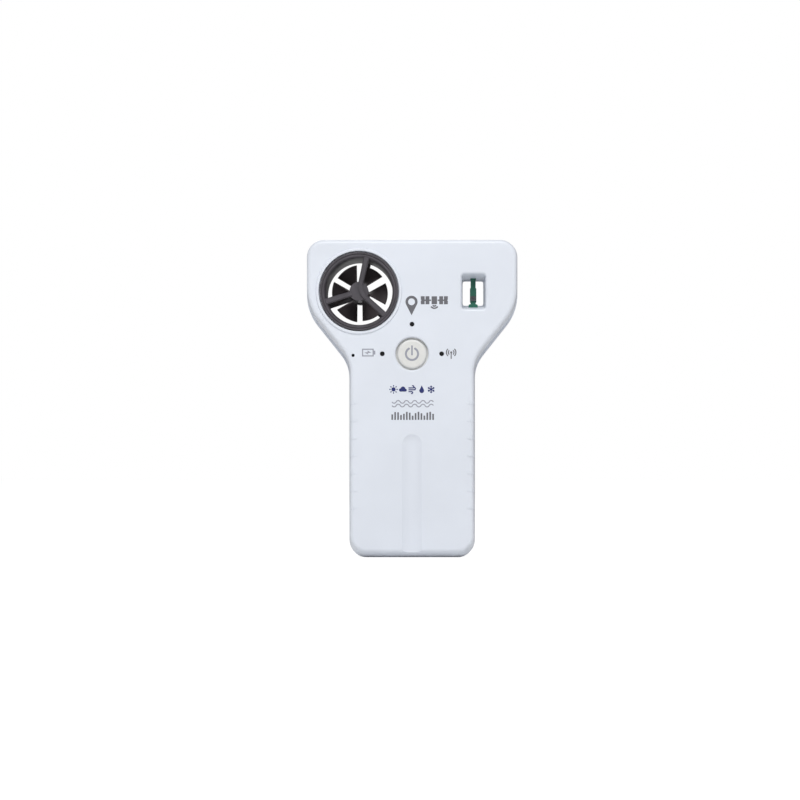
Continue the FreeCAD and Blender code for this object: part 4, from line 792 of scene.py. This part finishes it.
class WEATHER_OT_stage(bpy.types.Operator):
    """Add the floor, the soft lights and the camera"""
    bl_idname = "weather.stage"
    bl_label = "Stage"

    def execute(self, context):
        stage = settings("stage")
        self.floor()
        self.light(context, "key_light", stage.key_strength, (0.0, 0.70, -0.71))
        self.light(context, "back_light", stage.back_strength, (0.25, -0.70, -0.66))
        self.world(context, stage)
        self.camera(context, stage)
        context.scene.view_settings.view_transform = "Standard"
        return {"FINISHED"}

    def floor(self):
        """A pale floor, nearly as bright as the surround, so that its far edge melts away."""
        start_clean()
        bpy.ops.mesh.primitive_plane_add(size=1, location=(0, 0, -FLOOR_GAP))
        floor = named("floor")
        floor.scale = (FLOOR_SIZE, FLOOR_SIZE, 1.0)
        bpy.ops.object.transform_apply(location=True, rotation=True, scale=True)
        shader = Shader("floor_paint")
        tooth = shader.noise(260.0, 3.0)
        shade = shader.mix(shader.noise(3.0, 2.0), (0.90, 0.90, 0.905), (0.93, 0.93, 0.93))
        shader.finish(shade, 0.75 + tooth * 0.1, tooth, 0.00002)
        glow = shader.node("Emission", None, {"Color": (1.0, 1.0, 1.0, 1.0), "Strength": 1.25})
        seen = shader.node("LightPath", output="Is Camera Ray")
        shader.blend(seen * 0.75, glow)
        floor.data.materials.append(shader.material)

    def light(self, context, name, power, towards):
        """A wide soft light that shines that way onto the middle of the object."""
        lamp = bpy.data.lights.new(name, "AREA")
        lamp.energy = power
        lamp.size = LIGHT_SIZE
        aim = Vector(towards).normalized()
        holder = bpy.data.objects.new(name, lamp)
        holder.location = Vector((0.0, 0.0, settings("stage").view_middle)) - aim * LIGHT_DISTANCE
        holder.rotation_euler = aim.to_track_quat("-Z", "Y").to_euler()
        context.scene.collection.objects.link(holder)

    def world(self, context, stage):
        """A white surround; it lights the object more weakly than it looks."""
        world = bpy.data.worlds.new("studio")
        world.use_nodes = True
        tree = world.node_tree
        back = tree.nodes["Background"]
        back.inputs["Color"].default_value = (1.0, 1.0, 1.0, 1.0)
        seen = tree.nodes.new("ShaderNodeLightPath")
        strength = tree.nodes.new("ShaderNodeMapRange")
        strength.inputs["To Min"].default_value = stage.fill_strength
        strength.inputs["To Max"].default_value = 1.0
        tree.links.new(seen.outputs["Is Camera Ray"], strength.inputs["Value"])
        tree.links.new(strength.outputs[0], back.inputs["Strength"])
        context.scene.world = world

    def camera(self, context, stage):
        lens = bpy.data.cameras.new("camera")
        lens.sensor_width = 36.0
        lens.lens = lens.sensor_width * stage.distance / stage.view_width
        lens.shift_x = (stage.view_side - stage.eye_side) / stage.view_width
        lens.shift_y = (stage.view_middle - stage.eye_height) / stage.view_width
        lens.clip_start = 0.01
        lens.clip_end = 20.0
        camera = bpy.data.objects.new("camera", lens)
        camera.location = (stage.eye_side, -stage.distance, stage.eye_height)
        camera.rotation_euler = (math.radians(90), 0, 0)
        context.scene.collection.objects.link(camera)
        context.scene.camera = camera


class WEATHER_OT_finishes(bpy.types.Operator):
    """Give every CAD node its finish"""
    bl_idname = "weather.finishes"
    bl_label = "Finishes"

    def execute(self, context):
        for material, nodes in make_finishes().values():
            for node in nodes:
                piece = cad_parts[node]
                piece.data.materials.clear()
                piece.data.materials.append(material)
        return {"FINISHED"}


class WEATHER_OT_signs(bpy.types.Operator):
    """Print the small signs on the front of the case and the button"""
    bl_idname = "weather.signs"
    bl_label = "Printed signs"

    def execute(self, context):
        pitch = settings("sizes").row_pitch
        light_z = PLACE.battery_light.z
        pin_z = PLACE.gps_light.z + 9.75 * MM

        def printed(name, shapes, where, kind):
            print_sign(name, shapes, where, PLACE.face, ink(kind), CASE_BODY)

        pin = pin_shapes(outer=2.64 * MM, hole=1.5 * MM, drop=5.84 * MM)
        printed("location_sign", pin, (-0.2 * MM, pin_z), "grey")
        satellite = satellite_shapes(wide=11.8 * MM, tall=5.2 * MM)
        printed("satellite_sign", satellite, (9.75 * MM, pin_z - 0.2 * MM), "grey")
        battery = battery_shapes(wide=5.8 * MM, tall=3.4 * MM)
        printed("battery_sign", battery, (-18.9 * MM, light_z + 0.5 * MM), "pale")
        printed("radio_sign", radio_shapes(tall=4.7 * MM), (17.1 * MM, light_z), "grey")
        row = []
        makers = (sun_shapes, cloud_shapes, wind_shapes, drop_shapes, flake_shapes)
        for index, maker in enumerate(makers):
            across = (index - (len(makers) - 1) / 2) * pitch
            row += move_shapes(maker(pitch * ROW_SHARE), across, 0)
        printed("weather_row", row, (0.15 * MM, light_z - 15.55 * MM), "blue")
        trace = wave_shapes(wide=18.0 * MM, tall=3.2 * MM, line=0.45 * MM)
        printed("trace_line", trace, (0.3 * MM, light_z - 21.8 * MM), "pale")
        bars = bars_shapes(wide=19.1 * MM, tall=3.7 * MM)
        printed("bar_line", bars, (0.3 * MM, light_z - 27.0 * MM), "grey")
        power = power_shapes(outer=3.1 * MM, line=0.9 * MM, mark=4.3 * MM, gap=30)
        cap_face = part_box("power_button")[0].y
        print_sign("power_sign", power, (PLACE.button.x, PLACE.button.z), cap_face, ink("pale"),
                   BUTTON_BODY)
        return {"FINISHED"}


class WEATHER_OT_thread(bpy.types.Operator):
    """Wind the tripod thread inside the brass insert"""
    bl_idname = "weather.thread"
    bl_label = "Tripod thread"

    def execute(self, context):
        pitch = settings("sizes").thread_pitch
        root = THREAD_BORE + THREAD_SUNK
        crest = THREAD_BORE - THREAD_TOOTH
        flank, land = pitch * 0.42, pitch * 0.08
        piece = outline([(root, -flank), (crest, -land), (crest, land), (root, flank)])
        piece.name = "tripod_thread"
        piece.data.name = "tripod_thread"
        piece.rotation_euler.x = math.radians(90)
        piece.location.z = pitch / 2
        bpy.ops.object.transform_apply(location=True, rotation=True, scale=True)
        edit_all(piece)
        bpy.ops.mesh.delete(type="ONLY_FACE")
        bpy.ops.object.mode_set(mode="OBJECT")
        winding = piece.modifiers.new("winding", "SCREW")
        winding.axis = "Z"
        winding.screw_offset = pitch
        winding.iterations = int(THREAD_DEPTH / pitch)
        winding.steps = THREAD_STEPS
        winding.render_steps = THREAD_STEPS
        apply_modifiers(piece)
        edit_all(piece)
        bpy.ops.mesh.fill_holes(sides=4)
        bpy.ops.mesh.select_all(action="SELECT")
        bpy.ops.mesh.normals_make_consistent(inside=False)
        bpy.ops.object.mode_set(mode="OBJECT")
        finish_piece(piece, bpy.data.materials["insert_brass"], CASE_BODY)
        return {"FINISHED"}


class WEATHER_PT_panel(bpy.types.Panel):
    """The sidebar's list of steps and settings"""
    bl_label = "Weather sensor"
    bl_idname = "WEATHER_PT_panel"
    bl_space_type = "VIEW_3D"
    bl_region_type = "UI"
    bl_category = "Weather sensor"

    def draw(self, context):
        for operator in OPERATORS:
            self.layout.operator(operator.bl_idname)
        for kind, group in GROUPS.items():
            box = self.layout.box()
            for name in group.__annotations__:
                box.prop(settings(kind), name)


GROUPS = {"colours": SensorColours, "sizes": SensorSizes, "stage": SensorStage}
OPERATORS = (WEATHER_OT_stage, WEATHER_OT_finishes, WEATHER_OT_signs, WEATHER_OT_thread)


def register():
    for kind, group in GROUPS.items():
        bpy.utils.register_class(group)
        setattr(bpy.types.Scene, "weather_" + kind, bpy.props.PointerProperty(type=group))
    for operator in OPERATORS:
        bpy.utils.register_class(operator)
    bpy.utils.register_class(WEATHER_PT_panel)


def unregister():
    bpy.utils.unregister_class(WEATHER_PT_panel)
    for operator in reversed(OPERATORS):
        bpy.utils.unregister_class(operator)
    for kind, group in GROUPS.items():
        delattr(bpy.types.Scene, "weather_" + kind)
        bpy.utils.unregister_class(group)


def main():
    register()
    for operator in OPERATORS:
        area, name = operator.bl_idname.split(".")
        getattr(getattr(bpy.ops, area), name)()
    start_clean()


if __name__ == "__main__":
    main()
